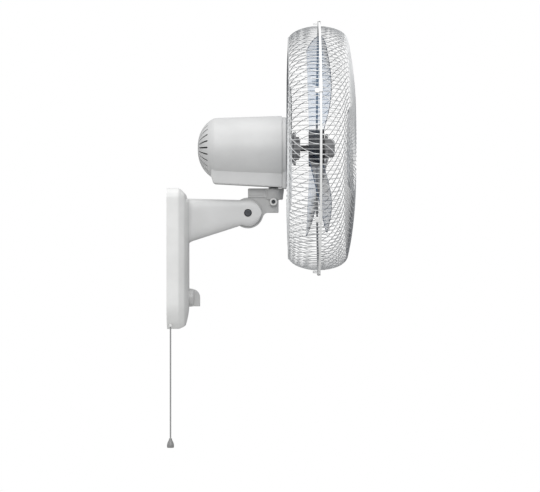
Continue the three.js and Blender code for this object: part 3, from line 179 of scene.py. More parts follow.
def body(name, *patches, sharp=35):
    """One mesh object from patches in millimetres, with doubles welded, faces turned out and edges over the
    angle kept crisp."""
    points, faces, start = [], [], 0
    for at, corners in patches:
        points.append(at)
        faces += [[k + start for k in face] for face in corners]
        start += len(at)
    mesh = bpy.data.meshes.new(name)
    mesh.from_pydata((np.concatenate(points) * MM).tolist(), [], faces)
    work = bmesh.new()
    work.from_mesh(mesh)
    bmesh.ops.remove_doubles(work, verts=work.verts, dist=2e-6)
    bmesh.ops.dissolve_degenerate(work, edges=work.edges, dist=1e-7)
    bmesh.ops.recalc_face_normals(work, faces=work.faces)
    work.to_mesh(mesh)
    work.free()
    obj = bpy.data.objects.new(name, mesh)
    bpy.context.scene.collection.objects.link(obj)
    return shade(obj, sharp)


def shade(obj, sharp=35):
    """Smooth shading that breaks at edges over the angle."""
    obj.data.shade_smooth()
    obj.data.set_sharp_from_angle(angle=math.radians(sharp))
    return obj


def carve(target, tool, operation="DIFFERENCE"):
    """Cuts a closed mesh with another, or joins the two, bakes the result and removes the tool."""
    step = target.modifiers.new("carve", "BOOLEAN")
    step.operation, step.solver, step.object = operation, "MANIFOLD", tool
    done = target.evaluated_get(bpy.context.evaluated_depsgraph_get())
    mesh = bpy.data.meshes.new_from_object(done)
    if len(mesh.polygons) < 4:
        raise RuntimeError(f"{target.name}: nothing is left after {operation.lower()} with {tool.name}")
    target.modifiers.clear()
    old, target.data = target.data, mesh
    bpy.data.meshes.remove(old)
    bpy.data.objects.remove(tool)
    return shade(target)


def rod(axis, at, low, high, radius, sides=48):
    """A round rod along an axis, to cut or to add."""
    return body("rod", lathe([(low, 0), (low, radius), (high, radius), (high, 0)], axis, at, sides))


def tube(name, radius, rounding, runs):
    """Round wires of that radius as one curve object, each along a run of points in millimetres."""
    line = bpy.data.curves.new(name, "CURVE")
    line.dimensions, line.bevel_depth, line.bevel_resolution = "3D", radius * MM, rounding
    for run in runs:
        spline = line.splines.new("POLY")
        spline.points.add(len(run) - 1)
        spline.points.foreach_set("co", np.c_[run * MM, np.ones(len(run))].ravel())
    obj = bpy.data.objects.new(name, line)
    bpy.context.scene.collection.objects.link(obj)
    return obj


def joined(name, *patches):
    """A union of closed patches into one skin."""
    whole = body(name, patches[0])
    for k, patch in enumerate(patches[1:]):
        carve(whole, body(f"{name}_part_{k}", patch), "UNION")
    return whole


def merge_flats(obj):
    """Joins the slivers that cutting leaves back into one face each, where they lie within 0.2° of flat."""
    work = bmesh.new()
    work.from_mesh(obj.data)
    bmesh.ops.remove_doubles(work, verts=work.verts, dist=1e-6)
    bmesh.ops.dissolve_limit(work, angle_limit=math.radians(0.2), verts=work.verts, edges=work.edges)
    work.to_mesh(obj.data)
    work.free()
    return shade(obj)


def settle(obj, rides_on, slot, material, *nodes):
    """Puts a finished piece on its body, in its material, in place of the CAD nodes named. The slot argument is
    not used.
    """
    merge_flats(obj)
    even = obj.modifiers.new("even normals", "WEIGHTED_NORMAL")
    even.keep_sharp = True
    return hang(obj, rides_on, slot, material, *nodes)


def hang(obj, rides_on, slot, material, *nodes):
    """The same for a piece whose normals are already right, such as round wire."""
    obj.data.materials.clear()
    obj.data.materials.append(bpy.data.materials[material])
    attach(obj, rides_on)
    if nodes:
        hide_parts(*nodes)
    return obj


# ---------------------------------------------------------------- finishes


def feed(tree, node, inputs):
    """Sets each named input of a node to a value, or links it to an output."""
    for key, value in inputs.items():
        if isinstance(value, bpy.types.NodeSocket):
            tree.links.new(value, node.inputs[key])
        else:
            node.inputs[key].default_value = value
    return node


def add(tree, kind, inputs=None, **settings):
    """Adds a node with its settings and its inputs' values or links."""
    node = tree.nodes.new(kind)
    for key, value in settings.items():
        setattr(node, key, value)
    return feed(tree, node, inputs or {})


def start_material(name):
    """A material with a surface shader and its object coordinates, in metres."""
    material = bpy.data.materials.new(name)
    material.use_nodes = True
    tree = material.node_tree
    shader = next(n for n in tree.nodes if n.type == "BSDF_PRINCIPLED")
    where = add(tree, "ShaderNodeTexCoord").outputs["Object"]
    return tree, shader, where


def tones(tree, value, low, high, colours):
    """A colour that follows a value, from the first colour at low to the last at high."""
    ramp = add(tree, "ShaderNodeValToRGB", {"Fac": value})
    ends = ramp.color_ramp.elements
    for element, position, colour in zip(ends, (low, high), (colours[0], colours[-1])):
        element.position, element.color = position, (*colour, 1)
    return ramp.outputs["Color"]


def moulded(name, colour, roughness, grain=0.7, relief=0.05, mottle=0.03):
    """Injection-moulded plastic: spark-eroded grain of that size and relief in mm, with faint flow clouds
    45 mm across in its colour."""
    tree, shader, where = start_material(name)
    flow = {"Vector": where, "Scale": 1 / (45 * MM), "Detail": 3.0, "Roughness": 0.55}
    clouds = add(tree, "ShaderNodeTexNoise", flow).outputs["Fac"]
    colour = np.array(colour)
    shades = [tuple(colour * (1 - mottle)), tuple(np.minimum(colour * (1 + mottle), 1))]
    grains = {"Vector": where, "Scale": 1 / (grain * MM), "Detail": 2.0}
    skin = add(tree, "ShaderNodeTexNoise", grains).outputs["Fac"]
    span = {"Value": skin, "From Min": NOISE_LOW, "From Max": NOISE_HIGH}
    span |= {"To Min": roughness - 0.05, "To Max": roughness + 0.06}
    bump = add(tree, "ShaderNodeBump", {"Height": skin, "Strength": 0.35, "Distance": relief * MM})
    dress = {"Base Color": tones(tree, clouds, 0.35, 0.65, shades), "Normal": bump.outputs["Normal"]}
    dress |= {"Roughness": add(tree, "ShaderNodeMapRange", span).outputs["Result"], "IOR": 1.53}
    feed(tree, shader, dress)


def metal(name, colour, roughness, grain=1.2, stretch=(1, 1, 1), relief=0.02):
    """Bare or plated metal: its grain, drawn out along an axis where it was turned or rolled, moves gloss and
    tone."""
    tree, shader, where = start_material(name)
    drawn = add(tree, "ShaderNodeMapping", {"Vector": where, "Scale": stretch})
    grains = {"Vector": drawn.outputs["Vector"], "Scale": 1 / (grain * MM), "Detail": 4.0}
    marks = add(tree, "ShaderNodeTexNoise", grains).outputs["Fac"]
    colour = np.array(colour)
    shades = [tuple(colour * 0.86), tuple(np.minimum(colour * 1.08, 1))]
    span = {"Value": marks, "From Min": NOISE_LOW, "From Max": NOISE_HIGH}
    span |= {"To Min": roughness - 0.07, "To Max": roughness + 0.09}
    bump = add(tree, "ShaderNodeBump", {"Height": marks, "Strength": 0.25, "Distance": relief * MM})
    dress = {"Base Color": tones(tree, marks, NOISE_LOW, NOISE_HIGH, shades), "Normal": bump.outputs["Normal"]}
    dress |= {"Roughness": add(tree, "ShaderNodeMapRange", span).outputs["Result"], "Metallic": 1.0}
    feed(tree, shader, dress)


def coated_wire(name, colour, inside):
    """Epoxy powder coat on drawn wire, with orange-peel ripples about 1.5 mm apart. The side of each wire that
    faces the fan's middle is painted greyer: painted shade, so that wires seen from inside the cage look darker."""
    tree, shader, where = start_material(name)
    centred = {0: where, 1: tuple(HEAD * MM)}
    outward = add(tree, "ShaderNodeVectorMath", centred, operation="SUBTRACT").outputs[0]
    outward = add(tree, "ShaderNodeVectorMath", {0: outward}, operation="NORMALIZE").outputs[0]
    skin = add(tree, "ShaderNodeNewGeometry").outputs["Normal"]
    faced = add(tree, "ShaderNodeVectorMath", {0: skin, 1: outward}, operation="DOT_PRODUCT").outputs["Value"]
    # Painted shade: the colour runs from the inside colour, on the side facing the fan's middle, to the wire's
    # own colour on the outer side.
    span = {"Value": faced, "From Min": -0.35, "From Max": 0.35}
    painted_shade_mix = add(tree, "ShaderNodeMapRange", span).outputs["Result"]
    ripples = {"Vector": where, "Scale": 1 / (1.5 * MM), "Detail": 2.0}
    peel = add(tree, "ShaderNodeTexNoise", ripples).outputs["Fac"]
    bump = add(tree, "ShaderNodeBump", {"Height": peel, "Strength": 0.3, "Distance": 0.04 * MM})
    dress = {"Base Color": tones(tree, painted_shade_mix, 0.0, 1.0, [inside, colour]), "Normal": bump.outputs["Normal"]}
    dress |= {"Roughness": 0.34, "Coat Weight": 0.25, "Coat Roughness": 0.2}
    feed(tree, shader, dress)


def clear_styrene(name, colour, deep, share):
    """Tinted styrene, moulded clear: glossy, with flow marks 30 mm across. A skin holds back
    1 − (1 − share)^(1 / cos) of the light, as the way through a sheet is longer and its tint deeper at a
    slant. The drum's thin wall, inside 36 mm, holds back least."""
    tree, shader, where = start_material(name)
    centred = {0: where, 1: tuple(HEAD * MM)}
    centred = add(tree, "ShaderNodeVectorMath", centred, operation="SUBTRACT").outputs[0]
    flow = {"Vector": centred, "Scale": 1 / (30 * MM), "Detail": 2.0, "Distortion": 0.6}
    marks = add(tree, "ShaderNodeTexNoise", flow).outputs["Fac"]
    bump = add(tree, "ShaderNodeBump", {"Height": marks, "Strength": 0.15, "Distance": 0.05 * MM})
    flat = add(tree, "ShaderNodeVectorMath", {0: centred, 1: (0, 1, 1)}, operation="MULTIPLY").outputs[0]
    radius = add(tree, "ShaderNodeVectorMath", {0: flat}, operation="LENGTH").outputs["Value"]
    span = {"Value": radius, "From Min": 36 * MM, "From Max": 50 * MM, "To Min": 0.995, "To Max": 1 - share}
    clear = add(tree, "ShaderNodeMapRange", span).outputs["Result"]
    slant = add(tree, "ShaderNodeLayerWeight", {"Blend": 0.5}).outputs["Facing"]
    cosine = add(tree, "ShaderNodeMath", {0: 1.0, 1: slant}, operation="SUBTRACT").outputs[0]
    cosine = add(tree, "ShaderNodeMath", {0: cosine, 1: 0.05}, operation="MAXIMUM").outputs[0]
    way = add(tree, "ShaderNodeMath", {0: 1.0, 1: cosine}, operation="DIVIDE").outputs[0]
    passed = add(tree, "ShaderNodeMath", {0: clear, 1: way}, operation="POWER").outputs[0]
    held = add(tree, "ShaderNodeMath", {0: 1.0, 1: passed}, operation="SUBTRACT").outputs[0]
    dress = {"Base Color": tones(tree, passed, 0.58, 0.8, [deep, colour]), "Normal": bump.outputs["Normal"]}
    dress |= {"Alpha": held, "Roughness": 0.14, "IOR": 1.57}
    feed(tree, shader, dress)


def wave_scale(pitch):
    """The scale at which a wave texture's bands lie that many mm apart, as they lie 2π / 20 m apart at 1."""
    return 2 * math.pi / (20 * pitch * MM)


def banded(name, colour, gaps, pitch, axis, roughness, metallic):
    """Stacked sheets or laid turns: bands of that pitch in mm along an axis, darker and lower in the gaps."""
    tree, shader, where = start_material(name)
    bands = {"Vector": where, "Scale": wave_scale(pitch), "Distortion": 0.4, "Detail": 1.0}
    wave = add(tree, "ShaderNodeTexWave", bands, wave_type="BANDS", bands_direction=axis).outputs["Fac"]
    bump = add(tree, "ShaderNodeBump", {"Height": wave, "Strength": 0.5, "Distance": 0.15 * MM})
    dress = {"Base Color": tones(tree, wave, 0.1, 0.6, [gaps, colour]), "Normal": bump.outputs["Normal"]}
    feed(tree, shader, dress | {"Roughness": roughness, "Metallic": metallic})


def braided(name, colour, gaps, pitch):
    """Braided nylon: two families of strands of that pitch in mm cross at a slant."""
    tree, shader, where = start_material(name)
    heights = []
    for slant in (1, -1):
        leaning = {"Vector": where, "Rotation": (0, slant * 0.7, slant * 0.5)}
        leaning = add(tree, "ShaderNodeMapping", leaning).outputs["Vector"]
        bands = {"Vector": leaning, "Scale": wave_scale(pitch)}
        heights.append(add(tree, "ShaderNodeTexWave", bands, bands_direction="Z").outputs["Fac"])
    strands = add(tree, "ShaderNodeMath", {0: heights[0], 1: heights[1]}, operation="MAXIMUM").outputs[0]
    bump = add(tree, "ShaderNodeBump", {"Height": strands, "Strength": 0.6, "Distance": 0.2 * MM})
    dress = {"Base Color": tones(tree, strands, 0.2, 0.9, [gaps, colour]), "Normal": bump.outputs["Normal"]}
    feed(tree, shader, dress | {"Roughness": 0.75, "Sheen Weight": 0.3})


# ---------------------------------------------------------------- settings


class WallFanFinishes(bpy.types.PropertyGroup):
    """Colours of the finishes that show."""

    white: bpy.props.FloatVectorProperty(
        name="Wall box", description="Cover of the wall box", subtype="COLOR", min=0, max=1,
        default=sRGB("#E9E9E7"),
    )
    shell: bpy.props.FloatVectorProperty(
        name="Head and arm", description="Motor covers and arm", subtype="COLOR", min=0, max=1,
        default=sRGB("#D3D3D2"),
    )
    grey: bpy.props.FloatVectorProperty(
        name="Neck", description="Tilting neck and its collar", subtype="COLOR", min=0, max=1,
        default=sRGB("#BCBCBB"),
    )
    knob: bpy.props.FloatVectorProperty(
        name="Knob", description="Speed knob", subtype="COLOR", min=0, max=1,
        default=sRGB("#BDBDBC"),
    )
    dark: bpy.props.FloatVectorProperty(
        name="Nuts", description="Guard nut and blade nut", subtype="COLOR", min=0, max=1,
        default=sRGB("#838384"),
    )
    black: bpy.props.FloatVectorProperty(
        name="Hub", description="Hub core", subtype="COLOR", min=0, max=1,
        default=sRGB("#101114"),
    )
    wire: bpy.props.FloatVectorProperty(
        name="Wire", description="Coated guard wire", subtype="COLOR", min=0, max=1,
        default=sRGB("#E8E9E9"),
    )
    bright: bpy.props.FloatVectorProperty(
        name="Clips", description="Clamp ring, clips and badge disc", subtype="COLOR", min=0, max=1,
        default=sRGB("#F7F7F6"),
    )
    blade: bpy.props.FloatVectorProperty(
        name="Blades", description="Tint of the clear blades", subtype="COLOR", min=0, max=1,
        default=sRGB("#8ABCEC"),
    )
    cord: bpy.props.FloatVectorProperty(
        name="Cord", description="Braided pull cord", subtype="COLOR", min=0, max=1,
        default=sRGB("#A9A9A8"),
    )


class WallFanCage(bpy.types.PropertyGroup):
    """Sizes of the wire guards."""

    spirals: bpy.props.IntProperty(
        name="Spirals", description="Spiral wires in each guard", default=80, min=24, max=220
    )
    straights: bpy.props.IntProperty(
        name="Straights", description="Wires round the side of each guard", default=160, min=24, max=220
    )
    wire_radius: bpy.props.FloatProperty(
        name="Wire radius", description="Half the gauge of a wire, in mm", default=0.56, min=0.3, max=2
    )
    twist: bpy.props.FloatProperty(
        name="Twist",
        description="How far a wire turns from the rim to the middle",
        subtype="ANGLE",
        default=math.radians(60),
        min=0,
        max=math.radians(90),
    )


class WallFanStudio(bpy.types.PropertyGroup):
    """Light and camera of the studio."""

    sky: bpy.props.FloatProperty(
        name="Sky", description="Strength of the light from all round", default=0.46, min=0, max=3
    )
    lamp: bpy.props.FloatProperty(
        name="Lamp", description="Power of the soft box overhead", subtype="POWER", default=22, min=0, max=500
    )
    fill: bpy.props.FloatProperty(
        name="Fill", description="Power of the side soft box", subtype="POWER", default=43, min=0, max=500
    )
    floor: bpy.props.FloatProperty(
        name="Floor", description="Height of the floor", subtype="DISTANCE", default=-0.9, min=-3, max=-0.4
    )
    lens: bpy.props.FloatProperty(
        name="Lens", description="Focal length", subtype="DISTANCE_CAMERA", default=186.7, min=20, max=500
    )


# ---------------------------------------------------------------- pieces


class WALLFAN_OT_finishes(bpy.types.Operator):
    """Makes every finish, and dresses the inner works in theirs"""

    bl_idname = "wallfan.finishes"
    bl_label = "Finishes"

    def execute(self, context):
        want = context.scene.wall_fan_finishes
        # ABS with a fine spark-eroded skin: bright, satin, with soft broad highlights.
        moulded("white moulded ABS", want.white, 0.42)
        moulded("off-white moulded ABS", want.shell, 0.45)
        # Glass-filled nylon: greyer and a little duller, with a coarser grain.
        moulded("grey glass-filled nylon", want.grey, 0.5, grain=0.9, relief=0.08, mottle=0.05)
        # ABS again, in light grey for what the hand turns.
        moulded("light grey moulded ABS", want.knob, 0.4)
        moulded("dark grey moulded ABS", want.dark, 0.45, mottle=0.06)
        # The pull is rubbed smooth by hands, and is greyer than the knob.
        moulded("rubbed grey nylon", sRGB("#8F8F8E"), 0.36, mottle=0.06)
        # Phenolic hub: near black, with enough gloss to show its edges.
        moulded("black phenolic", want.black, 0.45, grain=0.5, mottle=0.1)
        moulded("bright white polypropylene", want.bright, 0.38, grain=1.1, relief=0.03, mottle=0.01)
        moulded("black rubber", sRGB("#1A1A1A"), 0.7, grain=0.6, relief=0.1, mottle=0.1)
        # The last colour is painted shade on the wires' inward sides.
        coated_wire("powder-coated wire", want.wire, sRGB("#6E7073"))
        clear_styrene("clear blue styrene", want.blade, sRGB("#121A2A"), 0.085)
        moulded("deep blue styrene", sRGB("#33415C"), 0.2, mottle=0.08)
        # Cold-drawn bar: bright, its marks drawn out along the fan axis.
        metal("drawn steel", sRGB("#C2C4C6"), 0.3, stretch=(0.08, 1, 1))
        # Blackened steel: the bolt and screw sit dark in their recesses.
        metal("blackened steel", sRGB("#55575A"), 0.42, relief=0.03)
        # Zinc die casting: matt grey with a fine crystalline skin.
        metal("cast zinc", sRGB("#B9BDC1"), 0.46, grain=2.2, relief=0.05)
        metal("sintered bronze", sRGB("#B9975A"), 0.42, grain=0.8, relief=0.04)
        # 0.5 mm electrical steel sheets, drawn 0.75 mm apart so that the stack shows.
        banded("stacked laminations", sRGB("#7C8084"), sRGB("#2E3032"), 0.75, "X", 0.5, 0.8)
        # Enamelled copper wire, laid side by side 0.6 mm apart.
        banded("enamelled copper turns", sRGB("#B5602B"), sRGB("#4A1F0C"), 0.6, "X", 0.3, 0.85)
        # A fine braid, its strands drawn 1.2 mm apart so that they show at this distance.
        braided("braided nylon cord", want.cord, sRGB("#6B6B6B"), 1.2)
        inner = {
            "cast zinc": [
                "wall_plate", "tilt_nut", "anchor_lever", "swing_crank", "swing_link", "swivel_bracket",
                "rear_end_bell", "front_end_bell",
            ],
            "drawn steel": ["swivel_shaft", "swing_motor", "motor_shaft", "drive_pin"],
            "black phenolic": ["speed_switch", "pull_switch", "run_capacitor"],
            "black rubber": ["mains_grommet", "friction_washer_near", "friction_washer_far", "collar_washer"],
            "white moulded ABS": ["terminal_block", "pull_lever"],
            "stacked laminations": ["stator", "rotor_core"],
            "enamelled copper turns": ["rear_winding", "front_winding"],
            "sintered bronze": ["rear_bearing", "front_bearing", "switch_spindle"],
        }
        for material, nodes in inner.items():
            for node in nodes:
                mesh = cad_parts[node].data
                mesh.materials.clear()
                mesh.materials.append(bpy.data.materials[material])
        return {"FINISHED"}


class WALLFAN_OT_camera(bpy.types.Operator):
    """Stands the camera square to the fan's side, 5 m away"""

    bl_idname = "wallfan.camera"
    bl_label = "Camera"

    def execute(self, context):
        lens = bpy.data.cameras.new("side camera")
        lens.sensor_width, lens.lens = 36, context.scene.wall_fan_studio.lens
        lens.clip_start, lens.clip_end = 0.1, 100
        eye = bpy.data.objects.new("side camera", lens)
        eye.location = (0.1818, -4.984, 0.0223)
        eye.rotation_euler = (math.pi / 2, 0, 0)
        context.scene.collection.objects.link(eye)
        context.scene.camera = eye
        return {"FINISHED"}


class WALLFAN_OT_pull_cord(bpy.types.Operator):
    """Hangs the pull cord from its switch through the bush, with the bell on its end"""

    bl_idname = "wallfan.pull_cord"
    bl_label = "Pull cord"

    def execute(self, context):
        # The bell swells from a neck round the knot to its lip, and is hollowed from below.
        top = CORD_END - 0.3
        outside = [(top, 0), (top, 2.5), (top - 3, 2.9), (top - 7, 5.0), (top - 12, 6.3), (top - 16.2, 6.1)]
        inside = [(top - 17, 5.2), (top - 16.4, 4.4), (top - 12, 4.2), (top - 9, 2.4), (top - 8.6, 0)]
        profile = soften(outside + inside, 1.4, closed=False)
        bell = body("cord_bell", lathe(profile, "Z", CORD, 48))
        settle(bell, "cord", "grey_plastic", "rubbed grey nylon", "pull_bell")

        run = place("Z", 0, 0, np.linspace(CORD_TOP, CORD_END, 32), CORD)
        cord = tube("hanging_cord", CORD_RADIUS, 4, [run])
        cord.data.use_fill_caps = True
        hang(cord, "cord", "cord_fibre", "braided nylon cord", "pull_cord")

        # The bush flares at both mouths so that the cord can't fray.
        mouth = CORD_EXIT - 3
        wall = [(mouth, 2.0), (mouth, 3.6), (mouth + 9, 3.6), (mouth + 9, 2.0)]
        wall += [(mouth + 8, 1.7), (mouth + 1, 1.7)]
        bush = body("cord_bush", lathe(soften(wall, 0.5), "Z", CORD, 48, ring=True))
        settle(bush, "base", "white_plastic", "white moulded ABS", "cord_outlet_bush")
        return {"FINISHED"}


def box_outline(inset, steps=14):
    """The wall box seen from the front, drawn in: straight sides with quarter-circle corners, small above and
    large below."""
    half_y, half_z = BOX_WIDTH / 2 - inset, BOX_HEIGHT / 2 - inset
    quarters = [(1, 1, BOX_TOP_CORNER), (-1, 1, BOX_TOP_CORNER)]
    quarters += [(-1, -1, BOX_LOW_CORNER), (1, -1, BOX_LOW_CORNER)]
    corners = []
    for quarter, (side_y, side_z, corner) in enumerate(quarters):
        radius = min(max(corner - inset, 2.0), half_y - 1)
        a = (quarter + np.linspace(0, 1, steps)) * np.pi / 2
        y = side_y * (half_y - radius) + radius * np.cos(a)
        z = side_z * (half_z - radius) + radius * np.sin(a)
        corners.append(np.stack([y, z], -1))
    return np.concatenate(corners)


def box_form(skin):
    """The wall box as a solid, drawn in by skin. Its profile of (x, inset) runs up the side, rounds on to the
    chamfer and off it, and goes over the dome x = dome·(1 − (1 − t)^2.5) as t runs in from the chamfer."""
    turn = np.linspace(0, 1, 5)
    shoulder, dome = BOX_SIDE - 2.5, BOX_SIDE + BOX_CHAMFER
    profile = [(-1.0 if skin else 0.0, 0.0), (shoulder, 0.0)]
    profile += [(shoulder + 4.2 * t, 1.7 * t**2) for t in turn[1:]]
    profile += [(dome - 1.5 + 2.1 * t, BOX_CHAMFER - 1.5 + 3.2 * t - 0.5 * t**2) for t in turn]
    run = np.linspace(0.05, 1, 14)
    profile += [(dome + BOX_DOME * (1 - (1 - t) ** 2.5), BOX_CHAMFER + BOX_DOME_RUN * t) for t in run]
    rows = np.stack([place("X", *box_outline(inset + skin).T, x - skin, WALL) for x, inset in profile])
    # Below, the edge is rounder: it keeps up to 5.5 mm of what the chamfer takes off elsewhere.
    kept = 0.55 * np.minimum([inset for _, inset in profile], 10)[:, None]
    rows[..., 2] -= kept * np.clip((-rows[..., 2] - 60) / 50, 0, 1)
    return surface(rows, False, True, caps=True)


class WALLFAN_OT_wall_box(bpy.types.Operator):
    """Moulds the domed cover of the wall box, with the knob's recess and the cord's hole"""

    bl_idname = "wallfan.wall_box"
    bl_label = "Wall box"

    def execute(self, context):
        cover = body("wall_box_cover", box_form(0.0))
        carve(cover, body("hollow", box_form(BOX_SKIN)))
        carve(cover, rod("X", KNOB, BOX_FRONT - 6, BOX_FRONT - 1.4, KNOB_RECESS + 2, 96), "UNION")
        floor = BOX_FRONT - 2.4
        dish = [(floor, 0), (floor, KNOB_RECESS - 0.2), (floor + 9, KNOB_RECESS + 0.3), (floor + 9, 0)]
        carve(cover, body("recess", lathe(soften(dish, 0.8, closed=False), "X", KNOB, 128)))
        carve(cover, rod("X", KNOB, BOX_FRONT - 9, BOX_FRONT + 1, 3.4, 32))
        carve(cover, rod("Z", CORD, CORD_EXIT - 14, CORD_EXIT + 12, 3.9, 32))
        settle(cover, "base", "white_plastic", "white moulded ABS", "base_cover")
        return {"FINISHED"}


class WALLFAN_OT_knob(bpy.types.Operator):
    """Turns the speed knob: a tapered skirt, and a bar grip whose top falls away to the front"""

    bl_idname = "wallfan.knob"
    bl_label = "Speed knob"

    def execute(self, context):
        floor, step, tip = BOX_FRONT - 0.7, BOX_FRONT + 9, BOX_FRONT + 19.6
        skirt = [(floor, 0), (floor, 16.4), (step - 2.2, 15.6), (step, 14.4), (step, 0)]
        skirt = lathe(soften(skirt, [0, 0.6, 1.4, 1.4, 0], closed=False), "X", KNOB, 128)
        # The grip's top is a quarter of an ellipse from the step forward and down to the front.
        a = np.linspace(np.pi / 2, 0, 16)
        arch = np.stack([step - 3 + (tip - step + 3) * np.cos(a), -0.4 + 15.6 * np.sin(a)], -1)
        side = np.concatenate([[(step - 6, -15.4), (tip, -15.4)], arch[::-1], [(step - 6, 15.2)]])
        grip = prism(side, "Y", -5, 5, KNOB, 1.0, 4)
        knob = joined("speed_knob_shell", skirt, grip)
        carve(knob, rod("X", KNOB, floor - 1, tip - 5, 3.3, 32))
        settle(knob, "knob", "grey_plastic", "light grey moulded ABS", "speed_knob")
        return {"FINISHED"}


class WALLFAN_OT_arm(bpy.types.Operator):
    """Lofts the arm from the box to its two ears, and cuts the fork and the bolt's recesses"""

    bl_idname = "wallfan.arm"
    bl_label = "Support arm"

    def execute(self, context):
        # A section is |y/w|^p + |z/h|^p = 1 with p near 4.8. Its edges run straight to the ears, where they
        # turn round the tilt axis.
        bend = TILT[0] - 11
        run = 9 * (1 - np.cos(np.linspace(0.15, np.pi / 2, 10)))
        x = np.concatenate([BOX_FRONT - np.linspace(8, 0, 5), BOX_FRONT + run])
        x = np.concatenate([x, np.linspace(x[-1] + 6, bend, 12)])
        share = (x - BOX_FRONT) / (bend - BOX_FRONT)
        t = np.clip((x - BOX_FRONT + 2) / 9, 0, 1)
        flare = 9 * (1 - np.sqrt(1 - (1 - t) ** 2))
        low = TILT[2] - 52 + share * (52 - EAR_RADIUS + 2.4) - 0.6 * flare
        high = TILT[2] + 25.4 + share * (EAR_RADIUS - 1.2 - 25.4)
        wide = 30 + share * (EAR_HALF_WIDTH - 30) + flare
        turn = np.radians(np.concatenate([np.linspace(100, 12, 26), [8, 5, 2.5, 0.8]]))
        x = np.concatenate([x, TILT[0] + EAR_RADIUS * np.cos(turn)])
        low = np.concatenate([low, TILT[2] - EAR_RADIUS * np.sin(turn)])
        high = np.concatenate([high, TILT[2] + EAR_RADIUS * np.sin(turn)])
        wide = np.concatenate([wide, np.full(len(turn), EAR_HALF_WIDTH)])[:, None]
        a = np.linspace(0, 2 * np.pi, 96, endpoint=False)[None, :]
        across, up = (np.sign(f(a)) * np.abs(f(a)) ** 0.42 for f in (np.cos, np.sin))
        middle, half = ((high + low) / 2)[:, None], ((high - low) / 2)[:, None]
        skin = place("X", wide * across, middle + half * up, x[:, None], WALL)
        arm = body("arm_casting", surface(skin, False, True, caps=True), sharp=50)
        fork = box((TILT[0], TILT[0] + 40), (TILT[2] - FORK_RADIUS, TILT[2] + FORK_RADIUS))
        for gap in (soften(fork, 0.5), circle(FORK_RADIUS, TILT[[0, 2]], 96)):
            carve(arm, body("gap", prism(gap, "Y", -FORK_HALF_GAP, FORK_HALF_GAP, WALL)))
        for side in (-1, 1):
            carve(arm, rod("Y", TILT, *sorted((side * 15.5, side * 23)), 7.0, 64))
        carve(arm, rod("Y", TILT, -23, 23, 4.3))
        settle(arm, "base", "white_plastic", "off-white moulded ABS", "support_arm")
        return {"FINISHED"}


class WALLFAN_OT_tilt_bolt(bpy.types.Operator):
    """Turns the tilt bolt with its hexagon socket"""

    bl_idname = "wallfan.tilt_bolt"
    bl_label = "Tilt bolt"

    def execute(self, context):
        turning = [(-19.8, 0), (-19.8, 5.4), (-18.9, 6.4), (-15.8, 6.4), (-15.8, 4.0), (19.8, 4.0), (20.2, 3.2)]
        turning = soften(turning + [(20.2, 0)], 0.5, closed=False)
        bolt = body("tilt_bolt_turned", lathe(turning, "Y", TILT, 64))
        socket = circle(2.9, TILT[[0, 2]], 6)
        carve(bolt, body("socket", prism(socket, "Y", -21, -17.4, WALL)))
        settle(bolt, "base", "steel", "blackened steel", "tilt_bolt")
        return {"FINISHED"}


class WALLFAN_OT_neck(bpy.types.Operator):
    """Moulds the neck: tongue, rib, block, collar and the lock screw's boss"""

    bl_idname = "wallfan.neck"
    bl_label = "Neck"

    def execute(self, context):
        tongue = prism(circle(27.3, sides=128), "Y", -9.5, 9.5, TILT, 0.8)
        t = np.linspace(0, 1, 10)[:, None]
        sweep = (1 - t) ** 2 * (35.3, 0.3) + 2 * t * (1 - t) * (28.3, 0.3) + t**2 * (25.4, -9.8)
        rib = np.concatenate([[(0, 0), (0, 29), (54.3, 29), (54.3, 0.3)], sweep])
        rib = prism(soften(rib, np.r_[0, 0, 0, 1.5, np.zeros(10)]), "Y", -9.4, 9.4, TILT, 0.6)
        web = prism(soften(box((30.3, 54.3), (0.3, 29)), 1.5), "Y", -9.9, 9.9, TILT, 1.2)
        block = soften(box((0, 45.3), (27, 43.6)), [1.5, 1.3, 1.3, 2.0])
        block = prism(block, "Y", -11.5, 11.5, TILT, 1.2)
        ring = [(23.6, 0), (23.6, 16.5), (42.2, 18.9), (43.6, 18.0), (43.6, 0)]
        collar = lathe(soften(ring, [0, 1.5, 0.8, 0.8, 0], closed=False), "Z", COLLAR, 96)
        knuckle = [(-20, 0), (-20, 6.2), (-19.2, 7.0), (0, 7.4), (0, 0)]
        boss = lathe(soften(knuckle, 0.5, closed=False), "Y", LOCK, 64)
        neck = joined("neck_moulding", block, collar, web, rib, tongue, boss)
        groove = soften(box((-3, 27.3), (30.4, 31.6)), 0.2)
        for side in (-1, 1):
            carve(neck, body("groove", prism(groove, "Y", *sorted((side * 10.7, side * 13)), TILT)))
        # The lock screw's thread and the mouth over it, the swivel shaft's bore and the tilt bolt's.
        carve(neck, rod("Y", LOCK, -21, 0, 3.3))
        carve(neck, rod("Y", LOCK, -21, -17, 3.9))
        carve(neck, rod("Z", COLLAR, 4.3, 50, 6.3))
        carve(neck, rod("Y", TILT, -11, 11, 4.4))
        settle(neck, "neck", "grey_plastic", "grey glass-filled nylon", "tilt_bracket")

        # The grub screw that locks the swivel shaft, slotted for a driver, and the bush round its mouth. The
        # bush is moulded white, lighter than the grey neck; part of that lightness is a painted highlight on the
        # rim round the screw.
        screw = [(-16.8, 0), (-16.8, 2.5), (-16.3, 2.9), (-7.0, 2.9), (-6.4, 2.3), (-6.4, 0)]
        grub = body("lock_screw_turned", lathe(soften(screw, 0.3, closed=False), "Y", LOCK, 48))
        carve(grub, body("slot", prism(box((-3.2, 3.2), (-0.45, 0.45)), "Y", -18, -15.6, LOCK)))
        settle(grub, "neck", "steel", "blackened steel", "swivel_lock_screw")
        bush = soften([(-20.9, 3.9), (-20.9, 6.0), (-19.0, 6.4), (-19.0, 3.9)], [0.6, 1.0, 0.2, 0.2])
        bush = body("lock_screw_bush", lathe(bush, "Y", LOCK, 64, ring=True))
        settle(bush, "neck", "grey_plastic", "white moulded ABS")
        return {"FINISHED"}


